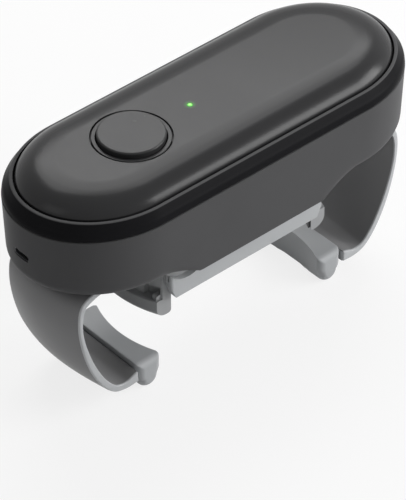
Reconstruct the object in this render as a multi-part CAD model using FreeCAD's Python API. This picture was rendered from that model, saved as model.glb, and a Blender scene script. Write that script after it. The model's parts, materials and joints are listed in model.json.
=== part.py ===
import FreeCAD, Part

import math
import os

# Electric jar opener, in millimetres. +Z is up and +X runs along the housing. Heights are drawn
# from a level FOOT_Z below the surface that the opener stands on, and each piece is set down by
# that much when it is written. The arms hold the jar's body, the two jaws under the middle hold
# its lid, and the rotor that carries the jaws turns. Everything on the left (-X) is the
# right-hand piece turned half round about Z.

Vec = FreeCAD.Vector
UP = Vec(0, 0, 1)

# ---- housing: a straight middle with half-ellipse ends ------------------------------------
STRAIGHT = 52.8           # half the length of the straight middle
END_STRETCH = 1.17        # an end reaches this many half widths beyond the straight middle
HALF_WIDTH = 36.0         # at the seam, the widest level
SEAM_Z = 100.35           # between the upper band and the lower body
SEAM_GAP = 0.4
RIM_Z = 107.1             # top edge of the upper band
RIM_HALF = 32.9
RIM_LIP = 0.5             # thin lip round the cover's groove
GROOVE = 1.2              # between the lip and the cover
COVER_TOP = 114.1
COVER_FLAT_HALF = 19.4    # half width of the cover's flat top
COVER_FOOT_Z = 103.0
WALL = 2.2
COVER_WALL = 2.1
TAPER = 1.0 / 28.0        # the side walls draw in by this much per millimetre down
FLOOR_LOW = 70.6
FLOOR_HIGH = 72.6
BOTTOM_ROUND = 6.5        # rounding where the end walls meet the floor
INNER_SLOPE = 3.2         # the floor slopes up into the walls over this distance
SKIRT_LOW = 65.6          # bottom of the side skirts in the middle
SKIRT_X = -1.8            # middle of the skirts
SKIRT_HALF_LOW = 34.5     # half length of the skirt's lower edge
SKIRT_HALF_HIGH = 51.0    # half length where the skirt's ends run into the end walls
SKIRT_TURN = 6.0          # rounding of the skirt's corners

# ---- push button and lamp -----------------------------------------------------------------
BUTTON_X = -39.0
BUTTON_R = 13.6
BUTTON_TOP = 116.2
BUTTON_LOW = 110.8
RING_IN = 13.95
RING_OUT = 15.7
RING_HOLE = 16.15
RING_LOW = 104.7
RING_FLOOR = 106.2
STEM_R = 3.0
STEM_LOW = 100.8
RUNNING = 0.06            # radial clearance of a running fit
LAMP_X = -9.2
LAMP_R = 1.1

# ---- arms ---------------------------------------------------------------------------------
ARM_HALF = 21.6           # half the width of an arm
ARM_RIM = 0.7             # pale edge left bare beside the dark skins
SKIN = 0.6
ARM_LOW = 67.3            # underside of the sliding plate
ARM_HIGH = 70.3
PLATE_IN = 50.0           # inner end of the sliding plate
ARM_START = 73.5          # where the plate runs into the curved wall
# Outer line of the right arm's edge, from the plate round to the lip: x, z, wall thickness, and
# how far the middle of the wall bulges out beyond its edges.
ARM_STATIONS = (
    (ARM_START, ARM_HIGH, 3.0, 0.0),
    (79.75, 68.5, 2.9, 1.6),
    (83.4, 65.3, 2.5, 2.9),
    (84.65, 58.6, 2.1, 3.6),
    (84.15, 49.9, 2.0, 3.8),
    (81.85, 38.85, 2.5, 3.8),
    (78.1, 28.2, 2.9, 3.6),
    (73.1, 19.25, 3.0, 2.6),
    (67.65, 13.5, 3.0, 1.2),
    (61.95, 11.7, 3.5, 0.2),
    (55.4, 11.95, 5.2, 0.0),
)
PAD_OUT = 54.4            # the pad's face towards its arm
PAD_IN = 42.75
PAD_TOP = 18.85
PAD_NOSE_R = 5.3
FOOT_Z = 4.9              # lowest level of the pads' noses, which the opener stands on
PAD_FLAT = 0.15           # depth of the flat on the nose
PAD_END_R = 3.4           # rounding of the pad's two ends
JAR_R = 47.0              # the pads are hollowed for a jar of this radius
TAB_LOW = 13.0            # tab of the arm that the pad is pushed over
TAB_HIGH = 15.8
TAB_IN = 51.4

# ---- gears --------------------------------------------------------------------------------
PRESSURE = math.radians(20.0)
ARM_MODULE = 1.0
ARM_TEETH = 28            # the pinion that moves both arms
JAW_MODULE = 1.0
JAW_TEETH = 16            # the pinion that moves both jaws
DRIVE_MODULE = 0.8
MAIN_TEETH = 50           # gear on the rotor's hub
SMALL_TEETH = 12          # compound gear's small wheel
LARGE_TEETH = 36          # compound gear's large wheel
MOTOR_TEETH = 10
PLAY = 0.16               # backlash
RACK_TIP = 9.0            # a rack reaches this far past the middle at rest

# ---- rotor and jaws -----------------------------------------------------------------------
ROTOR_HALF_X = 40.1
ROTOR_FOOT_X = 37.6       # the rails' ends slant in to this at their feet
ROTOR_SLANT_TOP = 52.6
ROTOR_HALF_Y = 24.1
RAIL_IN = 20.9            # inner faces of the rotor's two side rails
RAIL_LOW = 47.0           # rests on the lid
ROTOR_PLATE_LOW = 60.5
ROTOR_PLATE_HIGH = 63.0
GROOVE_OUT = 22.5         # grooves in the rails that guide the jaws
HUB_R = 8.0
HUB_TOP = 85.0
SLEEVE_R = 9.9
SHAFT_R = 4.0
JAW_HALF = 20.7
JAW_LOW = 37.8
JAW_TOP = 59.5
JAW_SLIDE_LOW = 55.6
LID_R = 41.8              # the jaws are hollowed for a lid of this radius
GRIP = 1.0                # rubber lining of a jaw
LEG_R = 46.6              # outer faces of a jaw's leg and of the thicker lip below it
LIP_R = 49.4
LIP_HIGH = 46.3
POCKET_R = 44.2           # depth of the two pockets in a leg
POCKET_Y = (13.0, 19.8)
POCKET_TOP = 52.0
RIB_Y = (17.3, 19.8)      # a short rib at the outer end of each pocket
RIB_OUT = 44.3
RIB_TOP = 48.5
STEM_END = 42.9           # a jaw rack's stem is held in the leg up to here
BRIDGE_LOW = 52.6
BRIDGE_HIGH = 54.4
BRIDGE_HALF_X = 13.5

# ---- drive, battery and electronics --------------------------------------------------------
MAIN_GEAR_Z = (79.0, 83.0)
LARGE_Z = (74.4, 77.4)
SMALL_Z = (78.2, 83.3)
BRACKET_Z = (84.0, 85.2)
MOTOR_R = 12.0
CELL_R = 7.0
CELL_HALF_Y = 8.0
CELL_X = (-76.0, -26.0)
CELL_Z = 80.6
BOARD_Z = (93.2, 94.8)
BOARD_X = (-78.0, -6.0)
SOCKET_Z = 84.7
SOCKET_MOUTH = -93.6
SOCKET_Y = 1.0
CASE_SCREWS = [(x, y) for x in (-44.0, 44.0) for y in (-24.5, 24.5)]
GUIDE_SCREWS = [(x, y) for x in (-27.0, 27.0) for y in (-28.6, 28.6)]
BOARD_POSTS = [(x, y) for x in (-70.0, -24.5) for y in (-18.4, 18.4)]
BRACKET_POSTS = [(21.5, -23.0), (21.5, 23.0), (53.5, -17.5), (53.5, 17.5)]
ROTOR_POSTS = [(x, y) for x in (-10.0, 10.0) for y in (-18.1, 18.1)]
HUB_SCREWS = [(11.0 * math.cos(a), 11.0 * math.sin(a)) for a in (0.6, 2.54, 3.74, 5.68)]


# ---- helpers ------------------------------------------------------------------------------
def wall_half(z):
    """Half width of the lower body's outer wall at height z."""
    return HALF_WIDTH - (SEAM_Z - z) * TAPER


def cyl(radius, low, high, x=0.0, y=0.0):
    return Part.makeCylinder(radius, high - low, Vec(x, y, low))


def tube(outer, inner, low, high, x=0.0, y=0.0):
    return cyl(outer, low, high, x, y).cut(cyl(inner, low, high, x, y))


def block(x, y, z):
    """A box between the two values of each of x, y and z."""
    return Part.makeBox(x[1] - x[0], y[1] - y[0], z[1] - z[0], Vec(x[0], y[0], z[0]))


def join(shapes):
    """Fuses the shapes into one solid where they touch."""
    first = shapes[0]
    if len(shapes) == 1:
        return first
    return first.fuse(shapes[1:]).removeSplitter()


def upright_edges(shape, x_test):
    """The shape's vertical edges at an x that passes the test."""
    found = []
    for edge in shape.Edges:
        a, b = edge.Vertexes[0].Point, edge.Vertexes[-1].Point
        if math.hypot(a.x - b.x, a.y - b.y) < 1e-6 and x_test(a.x):
            found.append(edge)
    return found


def level_edges(shape, z):
    """The shape's edges that lie at height z."""
    return [e for e in shape.Edges if all(abs(v.Point.z - z) < 1e-6 for v in e.Vertexes)]


def outline(start, *steps):
    """A face in the XZ plane. A step is a point, or a pair: the corner and end of a quarter turn."""
    round_pull = 0.5523
    here = Vec(start[0], 0, start[1])
    first = here
    edges = []
    for step in steps + (start,):
        if isinstance(step[0], tuple):
            corner = Vec(step[0][0], 0, step[0][1])
            there = Vec(step[1][0], 0, step[1][1])
            curve = Part.BezierCurve()
            curve.setPoles([here, here + (corner - here) * round_pull,
                            there + (corner - there) * round_pull, there])
            edges.append(curve.toShape())
        else:
            there = Vec(step[0], 0, step[1])
            if (there - here).Length > 1e-6:
                edges.append(Part.LineSegment(here, there).toShape())
        here = there
    assert (here - first).Length < 1e-6
    return Part.Face(Part.Wire(edges))


def round_plan(section):
    """Carries a section, drawn as distance from the spine and height, round a circle-ended plan."""
    reach = STRAIGHT / END_STRETCH
    plus = section.copy()
    plus.rotate(Vec(), UP, 90)
    minus = section.copy()
    minus.rotate(Vec(), UP, -90)
    plus.translate(Vec(-reach, 0, 0))
    minus.translate(Vec(reach, 0, 0))
    run = Vec(2 * reach, 0, 0)
    pieces = [
        plus.extrude(run),
        plus.revolve(Vec(-reach, 0, 0), UP, 180),
        minus.extrude(run * -1),
        minus.revolve(Vec(reach, 0, 0), UP, 180),
    ]
    return join(pieces)


def stretch(shape):
    """Draws a circle-ended shape out along X, so that its ends become half ellipses."""
    longer = FreeCAD.Matrix()
    longer.scale(END_STRETCH, 1, 1)
    return shape.transformGeometry(longer)


def polygon(points, low, high):
    """An upright prism on a closed list of (x, y) points."""
    vectors = [Vec(x, y, low) for x, y in points]
    vectors.append(vectors[0])
    return Part.Face(Part.makePolygon(vectors)).extrude(Vec(0, 0, high - low))


def turned(shape):
    """The left-hand twin of a right-hand piece."""
    twin = shape.copy()
    twin.rotate(Vec(), UP, 180)
    return twin


def moved(shape, x=0.0, y=0.0, z=0.0):
    other = shape.copy()
    other.translate(Vec(x, y, z))
    return other


def gear(module, teeth, low, high, bore, tooth_at=0.0):
    """A spur gear with involute flanks and one tooth centred at the angle tooth_at."""
    pitch = module * teeth / 2
    base = pitch * math.cos(PRESSURE)
    tip = pitch + 0.92 * module
    root = pitch - 1.15 * module
    half_at_pitch = math.pi / (2 * teeth) - PLAY / (2 * pitch)
    inv_pitch = math.tan(PRESSURE) - PRESSURE
    flank_low = max(base, root)

    def half_angle(radius):
        angle = math.acos(min(1.0, base / radius))
        return half_at_pitch + inv_pitch - (math.tan(angle) - angle)

    radii = [flank_low + (tip - flank_low) * i / 4 for i in range(5)]
    if root < base:
        radii.insert(0, root)
    points = []
    for tooth in range(teeth):
        middle = tooth_at + 2 * math.pi * tooth / teeth
        rising = [(r, middle - half_angle(max(r, flank_low))) for r in radii]
        falling = [(r, middle + half_angle(max(r, flank_low))) for r in reversed(radii)]
        points += [(r * math.cos(a), r * math.sin(a)) for r, a in rising + falling]
    wheel = polygon(points, low, high)
    return wheel.cut(cyl(bore, low, high))


def rack(module, pitch_y, back_y, x_from, x_to, low, high):
    """A rack along X whose teeth face the middle, with a gap at x = 0."""
    step = math.pi * module
    tip_y = pitch_y - 0.92 * module
    root_y = pitch_y + 1.15 * module
    half = step / 4 - PLAY / 2
    slope = math.tan(PRESSURE)
    points = [(x_from, back_y), (x_from, root_y)]
    tooth = math.ceil((x_from + step) / step - 0.5)
    while (tooth + 0.5) * step + step / 2 < x_to:
        middle = (tooth + 0.5) * step
        wide = half + (root_y - pitch_y) * slope
        narrow = half - (pitch_y - tip_y) * slope
        points += [(middle - wide, root_y), (middle - narrow, tip_y)]
        points += [(middle + narrow, tip_y), (middle + wide, root_y)]
        tooth += 1
    points += [(x_to, root_y), (x_to, back_y)]
    return polygon(points, low, high)


def screw(x, y, head_low, tip_high, shank_r, head_r, head_height):
    """A cross-head screw driven upwards from below."""
    head = cyl(head_r, head_low, head_low + head_height, x, y)
    slot = 0.35 * shank_r
    reach = 0.62 * head_r
    cross = [block((x - reach, x + reach), (y - slot, y + slot), (head_low, head_low + 0.9)),
             block((x - slot, x + slot), (y - reach, y + reach), (head_low, head_low + 0.9))]
    body = head.fuse(cyl(shank_r, head_low + head_height, tip_high, x, y))
    return body.cut(cross[0]).cut(cross[1])


def lead(points, radius):
    """A wire along straight runs joined by arcs as large as their runs allow."""
    route = [Vec(*p) for p in points]
    edges = []
    here = route[0]
    for i in range(1, len(route) - 1):
        before = route[i] - route[i - 1]
        after = route[i + 1] - route[i]
        half_turn = before.getAngle(after) / 2
        cut = 0.45 * min(before.Length, after.Length)
        a = route[i] - before.normalize() * cut
        b = route[i] + after.normalize() * cut
        inward = (a + b) * 0.5 - route[i]
        bend = cut / math.tan(half_turn)
        centre = route[i] + inward.normalize() * (bend / math.cos(half_turn))
        mid = centre + (route[i] - centre).normalize() * bend
        edges.append(Part.LineSegment(here, a).toShape())
        edges.append(Part.Arc(a, mid, b).toShape())
        here = b
    edges.append(Part.LineSegment(here, route[-1]).toShape())
    path = Part.Wire(edges)
    ring = Part.Wire(Part.Circle(route[0], route[1] - route[0], radius).toShape())
    return path.makePipeShell([ring], True, True)


# ---- housing ------------------------------------------------------------------------------
def top_cover():
    half = RIM_HALF - RIM_LIP - GROOVE
    inner = half - COVER_WALL
    inner_top = COVER_TOP - COVER_WALL
    shell = stretch(round_plan(outline(
        (0, COVER_TOP), (COVER_FLAT_HALF, COVER_TOP),
        ((half, COVER_TOP), (half, RIM_Z)), (half, COVER_FOOT_Z),
        (inner, COVER_FOOT_Z), (inner, RIM_Z),
        ((inner, inner_top), (COVER_FLAT_HALF, inner_top)), (0, inner_top))))
    bosses = [tube(3.0, 1.3, SEAM_Z - 0.2, COVER_TOP - 2.3, x, y) for x, y in CASE_SCREWS]
    shell = join([shell] + bosses)
    shell = shell.cut(cyl(RING_HOLE, 100, 120, BUTTON_X))
    return shell.cut(cyl(LAMP_R, 100, 120, LAMP_X))


def upper_band():
    foot = SEAM_Z + SEAM_GAP / 2
    outer = HALF_WIDTH - 0.15
    lip = RIM_HALF - RIM_LIP
    return stretch(round_plan(outline(
        (outer - 0.3, foot), ((outer, foot), (outer, foot + 0.6)),
        ((outer - 0.1, foot + 2.4), (outer - 1.1, foot + 3.4)), (RIM_HALF, RIM_Z - 0.15),
        (RIM_HALF - 0.15, RIM_Z), (lip, RIM_Z), (lip, COVER_FOOT_Z - 0.2), (28.6, COVER_FOOT_Z - 0.2),
        (28.6, foot), (31.4, foot), (31.4, foot - 3.0), (33.3, foot - 3.0), (33.3, foot))))


def lower_body():
    top = SEAM_Z - SEAM_GAP / 2
    wall_top = wall_half(top)
    turn = FLOOR_LOW + BOTTOM_ROUND
    ends = round_plan(outline(
        (0, FLOOR_LOW), (wall_half(turn) - BOTTOM_ROUND, FLOOR_LOW),
        ((wall_half(turn), FLOOR_LOW), (wall_half(turn), turn)), (wall_top, top),
        (wall_top - WALL, top), (wall_half(FLOOR_HIGH) - WALL, FLOOR_HIGH + INNER_SLOPE),
        (wall_half(FLOOR_HIGH) - WALL - INNER_SLOPE, FLOOR_HIGH), (0, FLOOR_HIGH)))
    skirts = round_plan(outline(
        (wall_half(SKIRT_LOW) - WALL, SKIRT_LOW), (wall_half(SKIRT_LOW), SKIRT_LOW),
        (wall_half(80.0), 80.0), (wall_half(80.0) - WALL, 80.0)))
    low, high = SKIRT_HALF_LOW / END_STRETCH, SKIRT_HALF_HIGH / END_STRETCH
    side = polygon([(-high, 75.4), (-low, SKIRT_LOW), (low, SKIRT_LOW),
                    (high, 75.4), (high, 80.0), (-high, 80.0)], -40, 40)
    side = side.makeFillet(SKIRT_TURN, upright_edges(side, lambda x: abs(abs(x) - low) < 0.1))
    side.rotate(Vec(), Vec(1, 0, 0), 90)
    side.translate(Vec(SKIRT_X / END_STRETCH, 0, 0))
    body = stretch(join([ends, skirts.common(side)]))
    posts = [tube(3.2, 1.5, FLOOR_LOW, SEAM_Z - 0.4, x, y) for x, y in CASE_SCREWS]
    posts += [cyl(2.4, FLOOR_HIGH - 1, BOARD_Z[0], x, y) for x, y in BOARD_POSTS]
    posts += [cyl(2.4, FLOOR_HIGH - 1, BRACKET_Z[0], x, y) for x, y in BRACKET_POSTS]
    posts += [cyl(2.6, 67.0, FLOOR_LOW + 1, x, y) for x, y in GUIDE_SCREWS]
    posts += [cyl(2.0, FLOOR_HIGH - 1, SOCKET_Z - 2.8, SOCKET_MOUTH + 10.2, SOCKET_Y + s) for s in (-6, 6)]
    ribs = [block((-31.6, 31.6), (y - 0.8, y + 0.8), (67.0, FLOOR_LOW + 0.5)) for y in (-22.7, 22.7)]
    body = join([body] + posts + ribs)
    for x, y in CASE_SCREWS:
        body = body.cut(cyl(3.1, FLOOR_LOW - 1, FLOOR_LOW + 1.9, x, y))
        body = body.cut(cyl(1.5, FLOOR_LOW, SEAM_Z, x, y))
    for x, y in GUIDE_SCREWS:
        body = body.cut(cyl(1.2, 66.0, FLOOR_HIGH - 0.6, x, y))
    for x, y in BOARD_POSTS:
        body = body.cut(cyl(1.0, BOARD_Z[0] - 8, BOARD_Z[0] + 1, x, y))
    for x, y in BRACKET_POSTS:
        body = body.cut(cyl(1.0, BRACKET_Z[0] - 8, BRACKET_Z[0] + 1, x, y))
    body = body.cut(cyl(SLEEVE_R, 60.0, 80.0))
    slot = 1.75
    half = 4.65 - slot
    start = SOCKET_MOUTH - 3
    port = block((start, start + 9), (SOCKET_Y - half, SOCKET_Y + half), (SOCKET_Z - slot, SOCKET_Z + slot))
    ends = [Part.makeCylinder(slot, 9, Vec(start, SOCKET_Y + side, SOCKET_Z), Vec(1, 0, 0))
            for side in (-half, half)]
    return body.cut(join([port] + ends))


def guide_plate():
    half_y = wall_half(SKIRT_LOW) - WALL - 0.3
    plate = block((-32.0, 32.0), (-half_y, half_y), (SKIRT_LOW, 67.0))
    plate = plate.makeFillet(5.0, upright_edges(plate, lambda x: True))
    plate = plate.cut(cyl(SLEEVE_R, 60, 70))
    for x, y in GUIDE_SCREWS:
        plate = plate.cut(cyl(1.3, 60, 70, x, y)).cut(cyl(2.35, 60, SKIRT_LOW + 0.8, x, y))
    return plate


def button_ring():
    cup = tube(RING_OUT, RING_IN, RING_FLOOR, COVER_TOP - 0.05, BUTTON_X)
    cup = cup.makeFillet(0.25, level_edges(cup, COVER_TOP - 0.05))
    floor = tube(RING_OUT, STEM_R + RUNNING, RING_LOW, RING_FLOOR, BUTTON_X)
    flange = tube(18.4, RING_OUT - 0.5, COVER_TOP - COVER_WALL - 1.4, COVER_TOP - COVER_WALL, BUTTON_X)
    return join([cup, floor, flange])


def light_pipe():
    rod = cyl(LAMP_R, BOARD_Z[1] + 2.0, COVER_TOP + 0.15, LAMP_X)
    rod = rod.makeFillet(0.3, level_edges(rod, COVER_TOP + 0.15))
    return join([rod, cyl(2.2, COVER_TOP - COVER_WALL - 1.2, COVER_TOP - COVER_WALL, LAMP_X)])


def button_cap():
    cap = cyl(BUTTON_R, BUTTON_LOW, BUTTON_TOP, BUTTON_X)
    cap = cap.makeFillet(1.3, level_edges(cap, BUTTON_TOP))
    hollow = tube(BUTTON_R - 1.6, 6.6, BUTTON_LOW, BUTTON_TOP - 1.8, BUTTON_X)
    stem = cyl(STEM_R, STEM_LOW, BUTTON_LOW + 0.5, BUTTON_X)
    collar = cyl(4.2, RING_LOW - 1.3, RING_LOW - 0.3, BUTTON_X)
    return join([cap.cut(hollow), stem, collar])


def button_spring():
    """A helix of ten-sided wire, lofted in short straight steps so that its mesh stays small."""
    wire, radius, turns, steps, sides = 0.4, 4.9, 2.5, 16, 10
    low = RING_FLOOR + wire + 0.05
    rise = BUTTON_LOW - wire - 0.05 - low
    count = int(turns * steps)
    rings = []
    for i in range(count + 1):
        angle = 2 * math.pi * i / steps
        out = Vec(math.cos(angle), math.sin(angle), 0)
        along = Vec(-radius * out.y, radius * out.x, rise / turns / (2 * math.pi))
        across = along.cross(out).normalize()
        middle = Vec(BUTTON_X, 0, low + rise * i / count) + out * radius
        corners = []
        for k in range(sides + 1):
            turn = 2 * math.pi * (k % sides) / sides
            corners.append(middle + (out * math.cos(turn) + across * math.sin(turn)) * wire)
        rings.append(Part.Wire(Part.makePolygon(corners)))
    return Part.makeLoft(rings, True, True)


# ---- arms ---------------------------------------------------------------------------------
def arm_lines(depths, y):
    """Curves through the arm's wall at y, each a function of the thickness at every station."""
    outer = Part.BSplineCurve()
    outer.interpolate(Points=[Vec(x, 0, z) for x, z, _, _ in ARM_STATIONS])
    curves = []
    for depth in depths:
        points = []
        for x, z, thick, bulge in ARM_STATIONS:
            at = outer.parameter(Vec(x, 0, z))
            along = outer.tangent(at)[0]
            if x == ARM_START:
                along = Vec(1, 0, 0)
            out = bulge * (1 - (y / ARM_HALF) ** 2)
            points.append(Vec(x + out, y, z) + Vec(along.z, 0, -along.x) * depth(thick))
        line = Part.BSplineCurve()
        line.interpolate(Points=points)
        curves.append(line)
    return curves


def arm_band(outside, inside, stations):
    """The part of the arm's wall between two depths, through the given values of y."""
    wires = []
    for y in stations:
        a, b = arm_lines((outside, inside), y)
        ends = [Part.LineSegment(b.StartPoint, a.StartPoint), Part.LineSegment(a.EndPoint, b.EndPoint)]
        wires.append(Part.Wire([ends[0].toShape(), a.toShape(), ends[1].toShape(), b.toShape()]))
    return Part.makeLoft(wires, True, False)


def across_arm():
    """Values of y between the bare edges of an arm."""
    inner = ARM_HALF - ARM_RIM
    return [inner * i / 3.0 for i in range(-3, 4)]


def arm_core():
    inner = ARM_HALF - ARM_RIM
    wall = arm_band(lambda t: SKIN, lambda t: t - SKIN, across_arm())
    rims = [arm_band(lambda t: 0, lambda t: t, side) for side in ((-ARM_HALF, -inner), (inner, ARM_HALF))]
    plate = block((PLATE_IN, ARM_START), (-ARM_HALF, ARM_HALF), (ARM_LOW, ARM_HIGH))
    seat = block((PLATE_IN - 1, 62.0), (15.0, ARM_HALF + 1), (ARM_LOW - 1, ARM_HIGH + 1))
    tab = block((TAB_IN, 56.8), (-18.0, 18.0), (TAB_LOW, TAB_HIGH))
    return join([wall] + rims + [plate.cut(seat), tab])


def arm_skin():
    return arm_band(lambda t: 0, lambda t: SKIN, across_arm())


def arm_liner():
    return arm_band(lambda t: t - SKIN, lambda t: t, across_arm())


def arm_rack():
    back = ARM_HALF - 0.2
    return rack(ARM_MODULE, ARM_MODULE * ARM_TEETH / 2, back, -RACK_TIP, 26.0, ARM_LOW, ARM_HIGH).fuse(
        block((26.0, 62.0), (15.15, back), (ARM_LOW, ARM_HIGH))).removeSplitter()


def jar_pad():
    nose_x = (PAD_IN + PAD_OUT) / 2
    nose_z = FOOT_Z + PAD_NOSE_R - PAD_FLAT
    section = outline(
        (PAD_OUT - 1.2, PAD_TOP), ((PAD_OUT, PAD_TOP), (PAD_OUT, PAD_TOP - 1.2)), (PAD_OUT, nose_z + 2.8),
        ((PAD_OUT, nose_z + 0.6), (nose_x + PAD_NOSE_R, nose_z)),
        ((nose_x + PAD_NOSE_R, nose_z - PAD_NOSE_R), (nose_x, nose_z - PAD_NOSE_R)),
        ((nose_x - PAD_NOSE_R, nose_z - PAD_NOSE_R), (nose_x - PAD_NOSE_R, nose_z)),
        (PAD_IN, nose_z + 3.5), (PAD_IN, PAD_TOP - 0.8), ((PAD_IN, PAD_TOP), (PAD_IN + 0.8, PAD_TOP)))
    half = ARM_HALF - 0.3
    pad = moved(section.extrude(Vec(0, 2 * half, 0)), y=-half)
    blank = block((PAD_IN, PAD_OUT), (-half, half), (FOOT_Z - PAD_FLAT, PAD_TOP))
    ends = [e for e in blank.Edges if abs(e.Vertexes[0].Point.y - e.Vertexes[-1].Point.y) < 1e-6]
    pad = pad.common(blank.makeFillet(PAD_END_R, ends))
    pad = pad.cut(cyl(JAR_R, 0, 25))
    pad = pad.cut(block((30, 60), (-30, 30), (0, FOOT_Z)))
    return pad.cut(block((TAB_IN, 60.0), (-18.0, 18.0), (TAB_LOW, TAB_HIGH)))


def arm_pinion():
    return gear(ARM_MODULE, ARM_TEETH, ARM_LOW + 0.1, ARM_HIGH - 0.1, SLEEVE_R + 0.07)


# ---- rotor and jaws -----------------------------------------------------------------------
def rotor_frame():
    frame = block((-ROTOR_HALF_X, ROTOR_HALF_X), (-ROTOR_HALF_Y, ROTOR_HALF_Y), (RAIL_LOW, ROTOR_PLATE_HIGH))
    frame = frame.makeFillet(1.2, upright_edges(frame, lambda x: True))
    channel = block((-60, 60), (-RAIL_IN, RAIL_IN), (40, ROTOR_PLATE_LOW))
    groove = block((-60, 60), (-GROOVE_OUT, GROOVE_OUT), (JAW_SLIDE_LOW - 0.3, JAW_TOP + 0.3))
    frame = frame.cut(channel).cut(groove)
    slant = outline(
        (ROTOR_FOOT_X, RAIL_LOW), (ROTOR_HALF_X, ROTOR_SLANT_TOP), (ROTOR_HALF_X + 2, ROTOR_SLANT_TOP),
        (ROTOR_HALF_X + 2, RAIL_LOW - 1), (ROTOR_FOOT_X, RAIL_LOW - 1))
    slant = moved(slant.extrude(Vec(0, 60, 0)), y=-30)
    scoop = Part.makeCylinder(12.0, 6, Vec(31.0, RAIL_IN, 66.6), Vec(0, 1, 0))
    for cutter in (slant, scoop, moved(scoop, y=-2 * RAIL_IN - 6)):
        frame = frame.cut(cutter).cut(turned(cutter))
    frame = frame.cut(cyl(SHAFT_R + 0.3, 50, 70))
    for x, y in ROTOR_POSTS:
        frame = frame.cut(cyl(0.9, 50, 70, x, y))
    for x, y in HUB_SCREWS:
        frame = frame.cut(cyl(0.9, 50, 70, x, y))
    return frame


def rotor_bridge():
    plate = block((-BRIDGE_HALF_X, BRIDGE_HALF_X), (-RAIL_IN, RAIL_IN), (BRIDGE_LOW, BRIDGE_HIGH))
    posts = [cyl(1.4, BRIDGE_LOW, ROTOR_PLATE_LOW, x, y) for x, y in ROTOR_POSTS]
    bridge = join([plate] + posts).cut(cyl(3.0 + RUNNING, 50, 56))
    for x, y in ROTOR_POSTS:
        bridge = bridge.cut(cyl(0.9, 50, 61, x, y))
    return bridge


def rotor_hub():
    hub = join([cyl(14.0, ROTOR_PLATE_HIGH, 65.0), cyl(HUB_R, 64.0, HUB_TOP)])
    hub = hub.cut(cyl(SHAFT_R + RUNNING, 60, 90))
    for x, y in HUB_SCREWS:
        hub = hub.cut(cyl(0.9, 60, 66, x, y))
    return hub


def jaw_lip():
    """The rounded lip that hooks under a lid's edge, carried round the lid's middle."""
    grip = LID_R + GRIP
    section = outline(
        (grip, JAW_LOW + 1.4), ((grip, JAW_LOW), (grip + 1.4, JAW_LOW)), (LIP_R - 4.6, JAW_LOW),
        ((LIP_R, JAW_LOW), (LIP_R, JAW_LOW + 4.6)), (LIP_R, LIP_HIGH - 0.5),
        ((LIP_R, LIP_HIGH), (LIP_R - 0.5, LIP_HIGH)), (grip, LIP_HIGH))
    section.rotate(Vec(), UP, -35)
    return section.revolve(Vec(), UP, 70)


def lid_jaw():
    span = block((20.0, 60.0), (-JAW_HALF, JAW_HALF), (JAW_LOW - 1, JAW_TOP))
    leg = tube(LEG_R, LID_R + GRIP, LIP_HIGH - 1, JAW_TOP)
    for y in (POCKET_Y, (-POCKET_Y[1], -POCKET_Y[0])):
        pocket = tube(LEG_R + 4, POCKET_R, LIP_HIGH, POCKET_TOP)
        leg = leg.cut(pocket.common(block((20, 60), y, (40, 60))))
    ribs = []
    for y in (RIB_Y[0], -RIB_Y[1]):
        side = outline((39.0, LIP_HIGH - 1), (RIB_OUT, LIP_HIGH - 1), (RIB_OUT, RIB_TOP - 1.2),
                       ((RIB_OUT, RIB_TOP), (RIB_OUT - 1.2, RIB_TOP)), (39.0, RIB_TOP))
        ribs.append(moved(side.extrude(Vec(0, RIB_Y[1] - RIB_Y[0], 0)), y=y))
    jaw = join([leg.common(span), jaw_lip().common(span)] + ribs).cut(cyl(LID_R + GRIP, 30, 62))
    passage = block((30, 60), (-17.2, -6.4), (JAW_SLIDE_LOW - 0.7, 62))
    tongue = block((24.0, 41.0), (RAIL_IN - 1.2, GROOVE_OUT - 0.3), (JAW_SLIDE_LOW, JAW_TOP))
    tongues = [tongue, moved(tongue, y=1.5 - RAIL_IN - GROOVE_OUT)]
    jaw = join([jaw.cut(passage)] + tongues)
    seat = block((30, STEM_END), (9.25, 16.0), (JAW_SLIDE_LOW, 62))
    return jaw.cut(seat)


def lid_grip():
    ring = tube(LID_R + GRIP, LID_R, JAW_LOW + 1.2, JAW_LOW + 7.7)
    half = JAW_HALF - 0.8
    grip = ring.common(block((30, 60), (-half, half), (30, 60)))
    ribs = []
    for y in (-16.0, -9.6, -3.2, 3.2, 9.6, 16.0):
        x = math.sqrt(LID_R ** 2 - y ** 2)
        ribs.append(cyl(0.35, JAW_LOW + 1.6, JAW_LOW + 7.3, x, y))
    return grip.cut(Part.makeCompound(ribs))


def jaw_rack():
    fingers = rack(JAW_MODULE, JAW_MODULE * JAW_TEETH / 2, 16.0, -RACK_TIP, 26.0, JAW_SLIDE_LOW, JAW_TOP)
    stem = block((26.0, STEM_END), (9.25, 16.0), (JAW_SLIDE_LOW, JAW_TOP))
    return fingers.fuse(stem).removeSplitter()


def jaw_pinion():
    return gear(JAW_MODULE, JAW_TEETH, JAW_SLIDE_LOW + 0.1, JAW_TOP - 0.1, SHAFT_R)


def jaw_shaft():
    shaft = join([cyl(3.0, BRIDGE_LOW - 0.4, BRIDGE_HIGH), cyl(SHAFT_R, BRIDGE_HIGH, 89.0)])
    return shaft.cut(block((-0.4, 0.4), (-5, 5), (88.2, 90)))


# ---- drive --------------------------------------------------------------------------------
def idler_x():
    return DRIVE_MODULE * (MAIN_TEETH + SMALL_TEETH) / 2


def motor_x():
    return idler_x() + DRIVE_MODULE * (LARGE_TEETH + MOTOR_TEETH) / 2


def main_gear():
    return gear(DRIVE_MODULE, MAIN_TEETH, MAIN_GEAR_Z[0], MAIN_GEAR_Z[1], HUB_R)


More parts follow.
